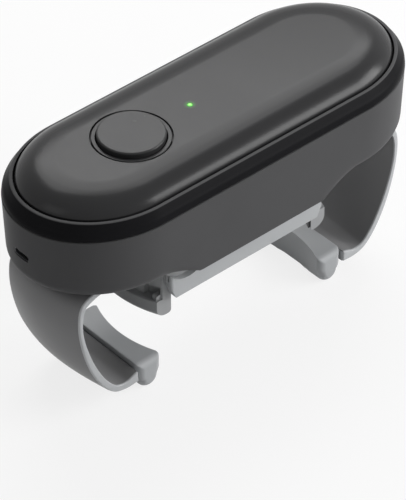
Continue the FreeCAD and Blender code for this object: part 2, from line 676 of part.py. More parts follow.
def compound_gear():
    gap_left = math.pi + math.pi / SMALL_TEETH
    small = gear(DRIVE_MODULE, SMALL_TEETH, SMALL_Z[0], SMALL_Z[1], 1.5 + RUNNING, gap_left)
    large = gear(DRIVE_MODULE, LARGE_TEETH, LARGE_Z[0], LARGE_Z[1], 1.5 + RUNNING)
    neck = tube(4.0, 1.5 + RUNNING, LARGE_Z[1], SMALL_Z[0])
    return moved(join([large, neck, small]), x=idler_x())


def motor_pinion():
    gap_left = math.pi + math.pi / MOTOR_TEETH
    wheel = gear(DRIVE_MODULE, MOTOR_TEETH, LARGE_Z[0], LARGE_Z[1], 1.0, gap_left)
    return moved(join([wheel, cyl(1.0, LARGE_Z[0], BRACKET_Z[1] + 0.6)]), x=motor_x())


def bracket():
    x = motor_x()
    plate = block((15.0, 57.5), (-26.0, 26.0), BRACKET_Z)
    corner = [polygon([(32, s * 27), (58, s * 27), (58, s * 20), (42, s * 20)], 80, 90) for s in (-1, 1)]
    plate = plate.cut(corner[0]).cut(corner[1])
    plate = plate.cut(cyl(1.5, 80, 90, idler_x())).cut(cyl(3.6, 80, 90, x))
    for px, py in BRACKET_POSTS:
        plate = plate.cut(cyl(1.1, 80, 90, px, py))
    return plate


def gearhead():
    x = motor_x()
    low = BRACKET_Z[1]
    head = cyl(MOTOR_R, low, 92.0, x).cut(cyl(3.5, low, low + 1.2, x))
    return head.makeChamfer(0.5, level_edges(head, 92.0))


def motor():
    x = motor_x()
    can = cyl(MOTOR_R - 0.4, 92.0, 109.0, x)
    can = can.makeFillet(1.4, level_edges(can, 109.0))
    cap = cyl(4.0, 108.0, 110.4, x)
    tags = [block((x - 0.4, x + 0.4), (y - 1.2, y + 1.2), (108.0, 111.4)) for y in (-7.0, 7.0)]
    return join([can, cap] + tags)


# ---- battery and electronics ---------------------------------------------------------------
def battery_cells():
    cells = []
    for y in (-CELL_HALF_Y, CELL_HALF_Y):
        length = CELL_X[1] - CELL_X[0]
        can = Part.makeCylinder(CELL_R, length - 1.2, Vec(CELL_X[0], y, CELL_Z), Vec(1, 0, 0))
        tip = Part.makeCylinder(2.6, length, Vec(CELL_X[0], y, CELL_Z), Vec(1, 0, 0))
        cells.append(can.fuse(tip))
    return Part.makeCompound(cells)


def battery_tray():
    tray = block((CELL_X[0] - 1.6, CELL_X[1] + 1.6), (-15.6, 15.6), (FLOOR_HIGH, CELL_Z))
    length = CELL_X[1] - CELL_X[0]
    for y in (-CELL_HALF_Y, CELL_HALF_Y):
        tray = tray.cut(Part.makeCylinder(CELL_R, length, Vec(CELL_X[0], y, CELL_Z), Vec(1, 0, 0)))
    return tray


def circuit_board():
    board = block(BOARD_X, (-21.0, 21.0), BOARD_Z)
    board = board.makeFillet(2.0, upright_edges(board, lambda x: True))
    for x, y in BOARD_POSTS:
        board = board.cut(cyl(1.1, 90, 100, x, y))
    return board


def board_parts():
    top = BOARD_Z[1]
    chips = [block((-62, -55), (-6, 1), (top, top + 1.4)), block((-66, -61), (8, 13), (top, top + 1.0)),
             block((-20, -14), (-12, -5), (top, top + 3.0))]
    cans = [cyl(3.0, top, top + 6.5, -64, -12), cyl(3.0, top, top + 6.5, -56, 12)]
    lamp = block((LAMP_X - 1.0, LAMP_X + 1.0), (-0.8, 0.8), (top, top + 1.6))
    return Part.makeCompound(chips + cans + [lamp])


def micro_switch():
    top = BOARD_Z[1]
    body = block((BUTTON_X - 3.1, BUTTON_X + 3.1), (-3.1, 3.1), (top, top + 3.0))
    return join([body, cyl(1.7, top + 3.0, top + 4.3, BUTTON_X)])


def charging_board():
    return block((SOCKET_MOUTH + 4.3, SOCKET_MOUTH + 13.1), (SOCKET_Y - 8.1, SOCKET_Y + 8.1),
                 (SOCKET_Z - 2.8, SOCKET_Z - 1.62))


def charging_socket():
    mouth, back = SOCKET_MOUTH, SOCKET_MOUTH + 7.3
    half = 4.47 - 1.62

    def rounded(radius, length):
        """A bar with round sides that runs inwards from the mouth."""
        low, high = Vec(mouth, SOCKET_Y - half, SOCKET_Z), Vec(mouth, SOCKET_Y + half, SOCKET_Z)
        middle = block((mouth, mouth + length), (low.y, high.y), (SOCKET_Z - radius, SOCKET_Z + radius))
        return join([middle] + [Part.makeCylinder(radius, length, at, Vec(1, 0, 0)) for at in (low, high)])

    shell = rounded(1.62, back - mouth).cut(rounded(1.3, back - mouth - 1.0))
    tongue = block((mouth + 0.8, back), (SOCKET_Y - 3.3, SOCKET_Y + 3.3), (SOCKET_Z - 0.35, SOCKET_Z + 0.35))
    return join([shell, tongue])


def leads():
    """Two wires from the motor's tags and two from the cells to the board."""
    x = motor_x()
    high = BOARD_Z[1] + 0.9
    wires = []
    for side in (-1, 1):
        wires.append(lead([(x - 0.48, side * 7.0, 110.2), (x - 9.0, side * 8.0, 110.8),
                           (x - 21.0, side * 9.0, 107.0), (x - 31.0, side * 10.0, 101.0),
                           (x - 41.0, side * 11.0, high), (x - 52.5, side * 11.5, high)], 0.7))
        end = CELL_X[0]
        wires.append(lead([(end - 2.4, side * 10.0, 81.0), (end - 4.6, side * 10.6, 85.0),
                           (end - 5.2, side * 11.0, 90.0), (end - 4.4, side * 11.4, 94.4),
                           (end - 0.6, side * 11.8, 96.6), (end + 4.0, side * 12.0, high)], 0.7))
    return Part.makeCompound(wires)


# ---- fasteners ----------------------------------------------------------------------------
def case_screws():
    return [screw(x, y, FLOOR_LOW + 0.5, SEAM_Z + 6.0, 1.28, 2.7, 1.4) for x, y in CASE_SCREWS]


def guide_screws():
    return [screw(x, y, SKIRT_LOW + 0.05, FLOOR_HIGH - 1.0, 1.15, 2.2, 0.75) for x, y in GUIDE_SCREWS]


def rotor_screws():
    low = [screw(x, y, BRIDGE_LOW - 0.9, ROTOR_PLATE_HIGH - 0.6, 0.85, 1.5, 0.9) for x, y in ROTOR_POSTS]
    return low + [cyl(0.85, ROTOR_PLATE_LOW + 0.4, 65.0, x, y) for x, y in HUB_SCREWS]


def inner_screws():
    """Screws driven downwards into the board's and the bracket's posts."""
    made = []
    places = [(x, y, BOARD_Z[1]) for x, y in BOARD_POSTS]
    places += [(x, y, BRACKET_Z[1]) for x, y in BRACKET_POSTS]
    for x, y, top in places:
        made.append(join([cyl(0.95, top - 7.0, top, x, y), cyl(1.9, top, top + 1.1, x, y)]))
    return made


def write(name, shape):
    if isinstance(shape, list):
        shape = Part.makeCompound(shape)
    shape = moved(shape, z=-FOOT_Z)
    for solid in shape.Solids:
        assert solid.isValid() and solid.Volume > 0, name
    print(f"{name:18s} solids {len(shape.Solids):2d} volume {shape.Volume:10.1f}")
    shape.exportStep(os.path.join("parts", name + ".step"))


def main():
    os.makedirs("parts", exist_ok=True)
    for name, shape in (
        ("top_cover", top_cover()),
        ("upper_band", upper_band()),
        ("lower_body", lower_body()),
        ("guide_plate", guide_plate()),
        ("button_ring", button_ring()),
        ("light_pipe", light_pipe()),
        ("button_cap", button_cap()),
        ("button_spring", button_spring()),
        ("arm_pinion", arm_pinion()),
        ("bearing_sleeve", join([tube(SLEEVE_R, HUB_R + RUNNING, SKIRT_LOW, 73.8),
                                 tube(9.2, HUB_R + RUNNING, 73.0, 78.4)])),
        ("thrust_washer", tube(9.6, HUB_R + RUNNING, 78.4, MAIN_GEAR_Z[0] - 0.02)),
        ("rotor_frame", rotor_frame()),
        ("rotor_bridge", rotor_bridge()),
        ("rotor_hub", rotor_hub()),
        ("main_gear", main_gear()),
        ("hub_clip", tube(10.5, HUB_R, MAIN_GEAR_Z[1], MAIN_GEAR_Z[1] + 0.8)),
        ("jaw_pinion", jaw_pinion()),
        ("jaw_shaft", jaw_shaft()),
        ("clutch_disc", tube(7.4, SHAFT_R, HUB_TOP + 0.3, 87.0)),
        ("compound_gear", compound_gear()),
        ("idler_axle", cyl(1.5, FLOOR_HIGH, BRACKET_Z[1], idler_x())),
        ("motor_pinion", motor_pinion()),
        ("motor_bracket", bracket()),
        ("gearhead", gearhead()),
        ("motor", motor()),
        ("battery_cells", battery_cells()),
        ("battery_tray", battery_tray()),
        ("circuit_board", circuit_board()),
        ("board_parts", board_parts()),
        ("micro_switch", micro_switch()),
        ("charging_board", charging_board()),
        ("charging_socket", charging_socket()),
        ("inner_leads", leads()),
        ("case_screws", case_screws()),
        ("guide_screws", guide_screws()),
        ("rotor_screws", rotor_screws()),
        ("inner_screws", inner_screws()),
    ):
        write(name, shape)
    for name, shape in (
        ("arm", arm_core()),
        ("arm_skin", arm_skin()),
        ("arm_liner", arm_liner()),
        ("arm_rack", arm_rack()),
        ("jar_pad", jar_pad()),
        ("lid_jaw", lid_jaw()),
        ("lid_grip", lid_grip()),
        ("jaw_rack", jaw_rack()),
    ):
        write("right_" + name, shape)
        write("left_" + name, turned(shape))


main()
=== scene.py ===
"""Looks of an electric jar opener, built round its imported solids.

Lengths inside the classes are millimetres: +Z is up and +X runs along the housing. Heights are
drawn from a level FOOT below the surface that the two pads stand on. When a piece is made it is
set down by that much and becomes metres in the row frame. Each left-hand piece is the right-hand
one turned half round about Z.
"""

from __future__ import annotations

import json
import logging
import math
from collections.abc import Callable, Iterable, Sequence
from dataclasses import dataclass
from enum import Enum
from typing import Any

import bmesh
import bpy
from mathutils import Matrix, Vector
from mathutils.geometry import interpolate_bezier

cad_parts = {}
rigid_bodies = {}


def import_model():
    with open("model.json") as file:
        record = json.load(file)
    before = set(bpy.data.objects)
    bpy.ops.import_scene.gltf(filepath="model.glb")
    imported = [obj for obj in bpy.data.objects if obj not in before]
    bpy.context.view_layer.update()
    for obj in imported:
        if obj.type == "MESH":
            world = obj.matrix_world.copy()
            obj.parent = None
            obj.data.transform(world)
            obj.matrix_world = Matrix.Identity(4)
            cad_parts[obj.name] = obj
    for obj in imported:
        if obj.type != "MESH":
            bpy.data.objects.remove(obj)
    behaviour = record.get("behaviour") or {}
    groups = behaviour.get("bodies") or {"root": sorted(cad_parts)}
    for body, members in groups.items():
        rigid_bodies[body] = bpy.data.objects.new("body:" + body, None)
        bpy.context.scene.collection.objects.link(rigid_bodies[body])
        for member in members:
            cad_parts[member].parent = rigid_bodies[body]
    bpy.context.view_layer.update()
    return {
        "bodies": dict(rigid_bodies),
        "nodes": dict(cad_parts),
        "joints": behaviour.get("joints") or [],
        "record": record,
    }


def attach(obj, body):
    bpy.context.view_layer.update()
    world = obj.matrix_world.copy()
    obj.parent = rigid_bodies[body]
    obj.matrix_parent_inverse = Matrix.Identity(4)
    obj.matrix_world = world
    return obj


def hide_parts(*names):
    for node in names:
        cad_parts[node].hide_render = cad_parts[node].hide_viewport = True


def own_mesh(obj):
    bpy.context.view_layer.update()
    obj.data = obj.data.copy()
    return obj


LOG = logging.getLogger("jar_opener")

MM = 0.001
FOOT = 4.9                # height of the standing surface in the drawings
WELD = 0.002              # vertices nearer than this are one
QUARTER_PULL = 0.5523     # handle length of a quarter turn, as a share of its radius

Point = tuple[float, float]
Triple = tuple[float, float, float]
Turn = tuple[Point, Point]        # corner and end of a quarter turn
Edge = bmesh.types.BMEdge


# ---- shader graphs
class Value:
    """A shader socket that can be used in sums."""

    def __init__(self, graph: Graph, socket: bpy.types.NodeSocket) -> None:
        """Wrap an output socket of a graph."""
        self.graph = graph
        self.socket = socket

    def __add__(self, other: Value | float) -> Value:
        """Return self + other."""
        return self.graph.maths("ADD", self, other)

    def __radd__(self, other: float) -> Value:
        """Return other + self."""
        return self.graph.maths("ADD", other, self)

    def __sub__(self, other: Value | float) -> Value:
        """Return self - other."""
        return self.graph.maths("SUBTRACT", self, other)

    def __rsub__(self, other: float) -> Value:
        """Return other - self."""
        return self.graph.maths("SUBTRACT", other, self)

    def __mul__(self, other: Value | float) -> Value:
        """Return self * other."""
        return self.graph.maths("MULTIPLY", self, other)


class Graph:
    """The node graph of a material or a world."""

    def __init__(self, owner: bpy.types.Material | bpy.types.World) -> None:
        """Start with an empty tree.

        Args:
            owner: The material or world whose surface the graph draws.
        """
        owner.use_nodes = True
        self.owner = owner
        self.tree = owner.node_tree
        self.tree.nodes.clear()

    def node(self, kind: str, sockets: dict[str | int, Any], **settings: Any) -> bpy.types.Node:
        """Add a node.

        Args:
            kind: The node's type, without the ShaderNode in front.
            sockets: Values or links of the inputs, by name or number.
            settings: The node's properties, which are set first.

        Returns:
            The node.
        """
        made = self.tree.nodes.new("ShaderNode" + kind)
        for key, value in settings.items():
            setattr(made, key, value)
        for key, value in sockets.items():
            if isinstance(value, Value):
                self.tree.links.new(value.socket, made.inputs[key])
            elif isinstance(value, bpy.types.NodeSocket):
                self.tree.links.new(value, made.inputs[key])
            elif made.inputs[key].type == "RGBA" and len(value) == 3:
                made.inputs[key].default_value = (*value, 1.0)
            else:
                made.inputs[key].default_value = value
        return made

    def value(self, kind: str, output: str | int, sockets: dict[str | int, Any],
              **settings: Any) -> Value:
        """Add a node, as node() does, and return one of its outputs by name or number."""
        return Value(self, self.node(kind, sockets, **settings).outputs[output])

    def maths(self, operation: str, a: Value | float, b: Value | float = 0.0) -> Value:
        """Add a Math node and return its result."""
        return self.value("Math", 0, {0: a, 1: b}, operation=operation)

    def within(self, value: Value, low: float, high: float) -> Value:
        """Map a value to 0 below low and 1 above high, softly between."""
        return self.value("MapRange", 0, {"Value": value, "From Min": low, "From Max": high},
                          interpolation_type="SMOOTHSTEP")

    def mix(self, share: Value | float, a: Any, b: Any) -> Value:
        """Mix two colours, each given as numbers or a Value, by the second one's share."""
        colours = [c if isinstance(c, Value) else (*c, 1.0) for c in (a, b)]
        return self.value("Mix", 2, {0: share, 6: colours[0], 7: colours[1]}, data_type="RGBA")

    def place(self, scale: Sequence[float] = (1, 1, 1), at: Sequence[float] = (0, 0, 0)) -> Value:
        """Return object coordinates in millimetres, centred on a point and stretched."""
        return self.value("Mapping", 0, {
            "Vector": self.value("TexCoord", "Object", {}), "Scale": [s / MM for s in scale],
            "Location": [-a * s for a, s in zip(at, scale)]}, vector_type="POINT")

    def noise(self, where: Value, size: float, detail: float = 2.0) -> Value:
        """Return noise round 0.5 with blotches of about a size, given in millimetres."""
        return self.value("TexNoise", 0, {"Vector": where, "Scale": 1.0 / size, "Detail": detail})

    def off_lamp(self, low: float, high: float) -> Value:
        """Return 0 within low millimetres of the lamp's axis and 1 beyond high, softly between."""
        off = self.value("VectorMath", "Value", {0: self.place((1, 1, 0), (Lamp.x, 0.0, 0.0))},
                         operation="LENGTH")
        return self.within(off, low, high)

    def finish(self, sockets: dict[str, Any], height: Value | None = None,
               relief: float = 0.0) -> bpy.types.Material:
        """Add the surface shader and the output.

        Args:
            sockets: Values of the Principled shader's inputs.
            height: Relief from 0 to 1, or None for a smooth surface.
            relief: The relief's depth in millimetres.

        Returns:
            The material.
        """
        if height is not None:
            bump = {"Height": height, "Strength": 1.0, "Distance": relief * MM}
            sockets = {**sockets, "Normal": self.value("Bump", 0, bump)}
        shader = self.node("BsdfPrincipled", sockets)
        self.node("OutputMaterial", {"Surface": shader.outputs[0]})
        return self.owner


# ---- finishes
class Texture(Enum):
    """What a surface is like close up."""

    MOULDED = "fine spark-eroded grain"
    RUBBER = "soft dull skin"
    BRUSHED = "drawn lines"
    TURNED = "fine turning rings"
    BOARD = "tracks under solder mask"
    WRAP = "shrunk sleeve"
    LAMP = "lit light guide"


@dataclass(frozen=True)
class Finish:
    """One finish of the opener.

    Attributes:
        slot: The record's material slot.
        colour: Base colour.
        roughness: Mean roughness.
        texture: What it is like close up.
        metallic: 1 for bare metal.
        coat: Weight of a clear coat.
        cloud: How far colour and roughness drift over the piece.
        grain: Size of the close-up pattern in millimetres.
        relief: Depth of the close-up pattern in millimetres.
        sheen: Weight of a soft edge sheen.
        specular: Strength of the reflection at the surface, 0.5 for plain plastic.
    """

    slot: str
    colour: Triple
    roughness: float
    texture: Texture = Texture.MOULDED
    metallic: float = 0.0
    coat: float = 0.0
    cloud: float = 0.06
    grain: float = 0.45
    relief: float = 0.012
    sheen: float = 0.0
    specular: float = 0.5

    def scaled(self, share: float) -> Triple:
        """Return the colour made lighter or darker by a share."""
        return tuple(min(1.0, c * share) for c in self.colour)

    def material(self) -> bpy.types.Material:
        """Build the finish's material."""
        makers = {Texture.BRUSHED: self.drawn, Texture.TURNED: self.drawn,
                  Texture.BOARD: self.board, Texture.LAMP: self.lamp}
        return makers.get(self.texture, self.moulded)(Graph(bpy.data.materials.new(self.slot)))

    def drift(self, graph: Graph, where: Value) -> tuple[Value, Value]:
        """Return the base colour and the roughness, each drifting slowly over the piece.

        Args:
            graph: The graph to add to.
            where: Coordinates in millimetres.

        Returns:
            The colour and the roughness.
        """
        slow = graph.noise(where, 24.0, 3.0)
        fine = graph.noise(where, 3.5, 4.0)
        colour = graph.mix(slow, self.scaled(1 - self.cloud), self.scaled(1 + self.cloud))
        rough = self.roughness + (slow - 0.5) * (self.cloud * 1.2) + (fine - 0.5) * (self.cloud * 0.8)
        return colour, rough

    def moulded(self, graph: Graph) -> bpy.types.Material:
        """Build a plastic or rubber surface with a fine grain.

        Args:
            graph: The graph to build in.

        Returns:
            The material.
        """
        where = graph.place()
        colour, rough = self.drift(graph, where)
        pits = graph.value("TexVoronoi", "Distance", {"Vector": where, "Scale": 1.0 / self.grain},
                           feature="F1")
        height = graph.noise(where, self.grain, 2.0) * 0.6 + pits * 0.4
        return graph.finish({"Base Color": colour, "Roughness": rough, "Metallic": self.metallic,
                             "Specular IOR Level": self.specular,
                             "Coat Weight": self.coat, "Coat Roughness": 0.3,
                             "Sheen Weight": self.sheen, "Sheen Roughness": 0.5}, height, self.relief)

    def drawn(self, graph: Graph) -> bpy.types.Material:
        """Build bare metal with lines along X, or rings round Z where it is turned.

        Args:
            graph: The graph to build in.

        Returns:
            The material.
        """
        along = (1, 1, 14) if self.texture is Texture.TURNED else (0.05, 1, 1)
        lines = graph.noise(graph.place(along), self.grain, 3.0)
        colour, rough = self.drift(graph, graph.place())
        return graph.finish({"Base Color": colour, "Roughness": rough + (lines - 0.5) * 0.16,
                             "Metallic": self.metallic}, lines, self.relief)

    def board(self, graph: Graph) -> bpy.types.Material:
        """Build a circuit board: copper tracks that show through a solder mask.

        Args:
            graph: The graph to build in.

        Returns:
            The material.
        """
        tracks = graph.value("TexBrick", 1, {
            "Vector": graph.place(), "Scale": 0.16, "Mortar Size": 0.045,
            "Brick Width": 0.9, "Row Height": 0.42}, offset=0.35)
        mask = graph.mix(tracks, self.colour, self.scaled(1.9))
        return graph.finish({"Base Color": mask, "Roughness": self.roughness,
                             "Coat Weight": self.coat}, tracks, self.relief)

    def lamp(self, graph: Graph) -> bpy.types.Material:
        """Build a light guide whose middle is brightest.

        Args:
            graph: The graph to build in.

        Returns:
            The material.
        """
        glow = graph.mix(graph.off_lamp(0.1, 0.95), (0.55, 1.0, 0.30), (0.05, 0.42, 0.02))
        return graph.finish({"Base Color": self.colour, "Roughness": self.roughness,
                             "Emission Color": glow, "Emission Strength": 1.0})


@dataclass(frozen=True)
class CoverFinish(Finish):
    """The cover's satin plastic, with a painted green glow close round the lamp."""

    # painted light: the green emission that the cover itself gives off close round the lamp
    halo: Triple = (0.02, 0.16, 0.008)
    halo_run: tuple[float, float] = (0.8, 3.4)

    def moulded(self, graph: Graph) -> bpy.types.Material:
        """Build the cover's surface, with the lamp's glow painted on it as emission.

        Args:
            graph: The graph to build in.

        Returns:
            The material.
        """
        where = graph.place()
        colour, rough = self.drift(graph, where)
        height = graph.noise(where, self.grain, 2.0)
        # painted light: the cover glows green near the lamp's axis, fading outwards
        near = 1.0 - graph.off_lamp(*self.halo_run)
        glow = graph.mix(near * near, (0.0, 0.0, 0.0), self.halo)
        return graph.finish({"Base Color": colour, "Roughness": rough,
                             "Specular IOR Level": self.specular, "Emission Color": glow,
                             "Emission Strength": 1.0}, height, self.relief)


@dataclass(frozen=True)
class BandFinish(Finish):
    """The band's near-black plastic, with a painted highlight that makes the lip round the cover paler.
    """

    # painted highlight: the lip's pale colour stands in for light caught on its top
    lip: Triple = (0.085, 0.085, 0.087)
    painted_highlight_z: float = 101.75
    painted_highlight_run: float = 0.35

    def drift(self, graph: Graph, where: Value) -> tuple[Value, Value]:
        """Return the base colour and the roughness, with a painted highlight that makes the lip paler
        than the rest.

        Args:
            graph: The graph to add to.
            where: Coordinates in millimetres.

        Returns:
            The colour and the roughness.
        """
        colour, rough = super().drift(graph, where)
        height = graph.value("SeparateXYZ", "Z", {0: where})
        # painted highlight: the lip is coloured paler from this height up
        share = graph.within(height, self.painted_highlight_z, self.painted_highlight_z + self.painted_highlight_run)
        return graph.mix(share, colour, self.lip), rough


FINISHES: tuple[Finish, ...] = (
    CoverFinish("cover_plastic", (0.020, 0.020, 0.021), 0.24, relief=0.005, specular=0.18),
    BandFinish("band_plastic", (0.010, 0.010, 0.011), 0.34, relief=0.006, specular=0.02),
    Finish("body_plastic", (0.076, 0.076, 0.078), 0.40, relief=0.006, specular=0.02),
    Finish("button_plastic", (0.028, 0.028, 0.029), 0.26, relief=0.006, specular=0.18),
    Finish("arm_plastic", (0.40, 0.41, 0.42), 0.45),
    Finish("skin_plastic", (0.20, 0.20, 0.203), 0.38, relief=0.004, specular=0.1),
    Finish("pad_rubber", (0.33, 0.34, 0.35), 0.55, Texture.RUBBER, sheen=0.15),
    Finish("rotor_plastic", (0.36, 0.37, 0.38), 0.42),
    Finish("jaw_plastic", (0.26, 0.265, 0.27), 0.42),
    Finish("grip_rubber", (0.03, 0.03, 0.032), 0.7, Texture.RUBBER, sheen=0.2),
    Finish("guide_plastic", (0.05, 0.05, 0.053), 0.5),
    Finish("gear_plastic", (0.74, 0.73, 0.69), 0.38),
    Finish("steel", (0.55, 0.55, 0.56), 0.32, Texture.TURNED, metallic=1.0, relief=0.004),
    Finish("brass", (0.72, 0.52, 0.22), 0.28, Texture.TURNED, metallic=1.0, relief=0.004),
    Finish("motor_can", (0.5, 0.5, 0.51), 0.34, Texture.BRUSHED, metallic=1.0, relief=0.004),
    Finish("lamp_plastic", (0.10, 0.55, 0.06), 0.2, Texture.LAMP),
    Finish("cell_wrap", (0.03, 0.09, 0.28), 0.25, Texture.WRAP, coat=0.5),
    Finish("board", (0.01, 0.10, 0.04), 0.35, Texture.BOARD, coat=0.4, relief=0.03),
    Finish("chip", (0.02, 0.02, 0.02), 0.5),
    Finish("socket_metal", (0.18, 0.18, 0.185), 0.35, Texture.BRUSHED, metallic=1.0, relief=0.004),
    Finish("lead_rubber", (0.35, 0.03, 0.02), 0.5, Texture.RUBBER),
    Finish("spring_steel", (0.5, 0.5, 0.51), 0.28, Texture.BRUSHED, metallic=1.0, relief=0.004),
)


# ---- lines and forms
def trace(start: Point, *steps: Any, fineness: int = 10) -> list[Point]:
    """Draw a line from straight runs and quarter turns.

    Args:
        start: The first point.
        steps: Points, or pairs of points: the corner and the end of a quarter turn.
        fineness: Pieces in a quarter turn.

    Returns:
        The line's points.
    """
    points = [start]
    for step in steps:
        if isinstance(step[0], tuple):
            here, corner, there = Vector(points[-1]), Vector(step[0]), Vector(step[1])
            curve = interpolate_bezier(here, here.lerp(corner, QUARTER_PULL),
                                       there.lerp(corner, QUARTER_PULL), there, fineness + 1)
            points += [(p.x, p.y) for p in curve[1:]]
        else:
            points.append(step)
    return points


def smooth_line(stations: Sequence[Sequence[float]], fineness: int,
                start: Sequence[float]) -> list[Vector]:
    """Draw a smooth line through stations of three numbers each.

    Args:
        stations: What the line passes through.
        fineness: Pieces between two stations.
        start: Direction at the first station.

    Returns:
        The line's points.
    """
    knots = [Vector(s) for s in stations]
    gaps = [(b - a).to_2d().length for a, b in zip(knots, knots[1:])]
    slopes = [Vector(start)]
    for i in range(1, len(knots) - 1):
        slopes.append((knots[i + 1] - knots[i - 1]) / (gaps[i - 1] + gaps[i]))
    slopes.append((knots[-1] - knots[-2]) / gaps[-1])
    line = [knots[0]]
    for i, gap in enumerate(gaps):
        here, there = knots[i], knots[i + 1]
        line += interpolate_bezier(here, here + slopes[i] * gap / 3,
                                   there - slopes[i + 1] * gap / 3, there, fineness + 1)[1:]
    return line


@dataclass(frozen=True)
class Plan:
    """The housing's plan: a straight middle with half-ellipse ends.

    Attributes:
        straight: Half the length of the straight middle.
        stretch: An end reaches this many half widths beyond the straight middle.
        run_steps: Pieces along the straight middle.
        turn_steps: Pieces round an end.
    """

    straight: float = 52.8
    stretch: float = 1.17
    run_steps: int = 20
    turn_steps: int = 72


class Form:
    """A mesh that is shaped with bmesh operators, in millimetres."""

    def __init__(self) -> None:
        """Start empty."""
        self.bm = bmesh.new()

    def line(self, points: Iterable[Sequence[float]], closed: bool = False) -> list[Edge]:
        """Add a chain of edges.

        Args:
            points: Its points.
            closed: Whether the last point joins the first.

        Returns:
            The edges.
        """
        verts = [self.bm.verts.new(p) for p in points]
        pairs = list(zip(verts, verts[1:]))
        if closed:
            pairs.append((verts[-1], verts[0]))
        return [self.bm.edges.new(pair) for pair in pairs]

    def carry(self, edges: Iterable[Edge], steps: int, angle: float = 0.0,
              centre: Sequence[float] = (0, 0, 0), axis: Sequence[float] = (0, 0, 1),
              shift: Sequence[float] = (0, 0, 0)) -> list[Edge]:
        """Carry edges round an axis or along a shift, leaving faces behind.

        Args:
            edges: What is carried.
            steps: Number of steps.
            angle: The whole turn in radians.
            centre: A point on the axis.
            axis: The axis.
            shift: Movement in each step.

        Returns:
            The edges at the end.
        """
        edges = list(edges)
        verts = {v for e in edges for v in e.verts}
        last = bmesh.ops.spin(self.bm, geom=[*verts, *edges], cent=centre, axis=axis, dvec=shift,
                              angle=angle, steps=steps, use_merge=False)["geom_last"]
        return [g for g in last if isinstance(g, Edge)]

    def round_plan(self, plan: Plan, points: Sequence[Point],
                   closed: bool = False) -> bmesh.types.BMLayerItem:
        """Carry a line, drawn as distance from the spine and height, round the housing's plan.

        Args:
            plan: The plan.
            points: The line.
            closed: Whether the last point joins the first.

        Returns:
            The layer that gives every vertex the number of its point in the line.
        """
        reach = plan.straight / plan.stretch
        step = 2 * reach / plan.run_steps
        row = self.bm.verts.layers.int.new("row")
        edges = self.line([(-reach, -out, up) for out, up in points], closed)
        for i, vert in enumerate(self.bm.verts):
            vert[row] = i
        for side in (1, -1):
            edges = self.carry(edges, plan.run_steps, shift=(side * step, 0, 0))
            edges = self.carry(edges, plan.turn_steps, math.pi, (side * reach, 0, 0))
        self.weld()
        bmesh.ops.scale(self.bm, vec=(plan.stretch, 1, 1), verts=self.bm.verts[:])
        return row

    def turned(self, points: Sequence[Point], steps: int, x: float, closed: bool = False) -> None:
        """Turn a line, drawn as radius and height, in steps round an upright axis at x."""
        self.carry(self.line([(x + radius, 0, up) for radius, up in points], closed), steps,
                   2 * math.pi, (x, 0, 0))
        self.weld()

    def bridge(self, a: Iterable[Edge], b: Iterable[Edge]) -> list[bmesh.types.BMFace]:
        """Join two chains of edges with faces and return these."""
        return bmesh.ops.bridge_loops(self.bm, edges=[*a, *b])["faces"]

    def circle(self, radius: float, x: float, z: float, segments: int) -> list[Edge]:
        """Add a level circle round (x, 0, z) and return its edges."""
        verts = bmesh.ops.create_circle(self.bm, cap_ends=False, segments=segments, radius=radius,
                                        matrix=Matrix.Translation((x, 0, z)))["verts"]
        return list({e for v in verts for e in v.link_edges})

    def thicken(self, faces: list[bmesh.types.BMFace], shift: Sequence[float]) -> None:
        """Extrude faces by a shift into a closed solid."""
        made = bmesh.ops.extrude_face_region(self.bm, geom=faces, use_keep_orig=True)["geom"]
        verts = [g for g in made if isinstance(g, bmesh.types.BMVert)]
        bmesh.ops.translate(self.bm, vec=shift, verts=verts)

    def open_edges(self) -> list[Edge]:
        """Return the edges with one face."""
        return [e for e in self.bm.edges if len(e.link_faces) == 1]

    def close(self, axis: int, place: float) -> None:
        """Fill the open rim that lies at a place along an axis."""
        rim = [e for e in self.open_edges() if all(abs(v.co[axis] - place) < WELD for v in e.verts)]
        bmesh.ops.edgeloop_fill(self.bm, edges=rim)

    def bevel(self, width: float, segments: int = 3, limit: float = 50.0,
              keep: Callable[[Edge], bool] = lambda edge: True) -> None:
        """Round the sharp edges.

        Args:
            width: How far from the edge the rounding starts.
            segments: Its number of pieces.
            limit: Only edges whose faces turn by more than this many degrees.
            keep: A further test that an edge has to pass.
        """
        self.outward()
        edges = [e for e in self.bm.edges if len(e.link_faces) == 2
                 and e.calc_face_angle(0.0) > math.radians(limit) and keep(e)]
        bmesh.ops.bevel(self.bm, geom=edges, offset=width, offset_type="OFFSET", affect="EDGES",
                        segments=segments, profile=0.5, material=-1, clamp_overlap=True)

    def weld(self, distance: float = WELD) -> None:
        """Merge vertices that lie together."""
        bmesh.ops.remove_doubles(self.bm, verts=self.bm.verts[:], dist=distance)

    def outward(self) -> None:
        """Turn every face outwards."""
        bmesh.ops.recalc_face_normals(self.bm, faces=self.bm.faces[:])

    def half_turn(self) -> None:
        """Turn the form half round about Z."""
        bmesh.ops.rotate(self.bm, cent=(0, 0, 0), matrix=Matrix.Rotation(math.pi, 3, "Z"),
                         verts=self.bm.verts[:])

    def body(self, name: str) -> bpy.types.Object:
        """Return an object in the scene with the form as its mesh.

        Args:
            name: The object's name.

        Returns:
            The object.
        """
        mesh = bpy.data.meshes.new(name)
        self.bm.to_mesh(mesh)
        made = bpy.data.objects.new(name, mesh)
        bpy.context.scene.collection.objects.link(made)
        return made

    def cut(self, other: Form) -> None:
        """Take another form away from this one.

        Args:
            other: What is taken away.
        """
        bodies = []
        for form in (self, other):
            form.outward()
            bodies.append(form.body("cutting"))
        modifier = bodies[0].modifiers.new("cut", "BOOLEAN")
        modifier.operation = "DIFFERENCE"
        modifier.solver = "EXACT"
        modifier.object = bodies[1]
        ready = bodies[0].evaluated_get(bpy.context.evaluated_depsgraph_get())
        self.bm.clear()
        self.bm.from_mesh(ready.to_mesh())
        ready.to_mesh_clear()
        for body in bodies:
            bpy.data.meshes.remove(body.data)
        self.weld()

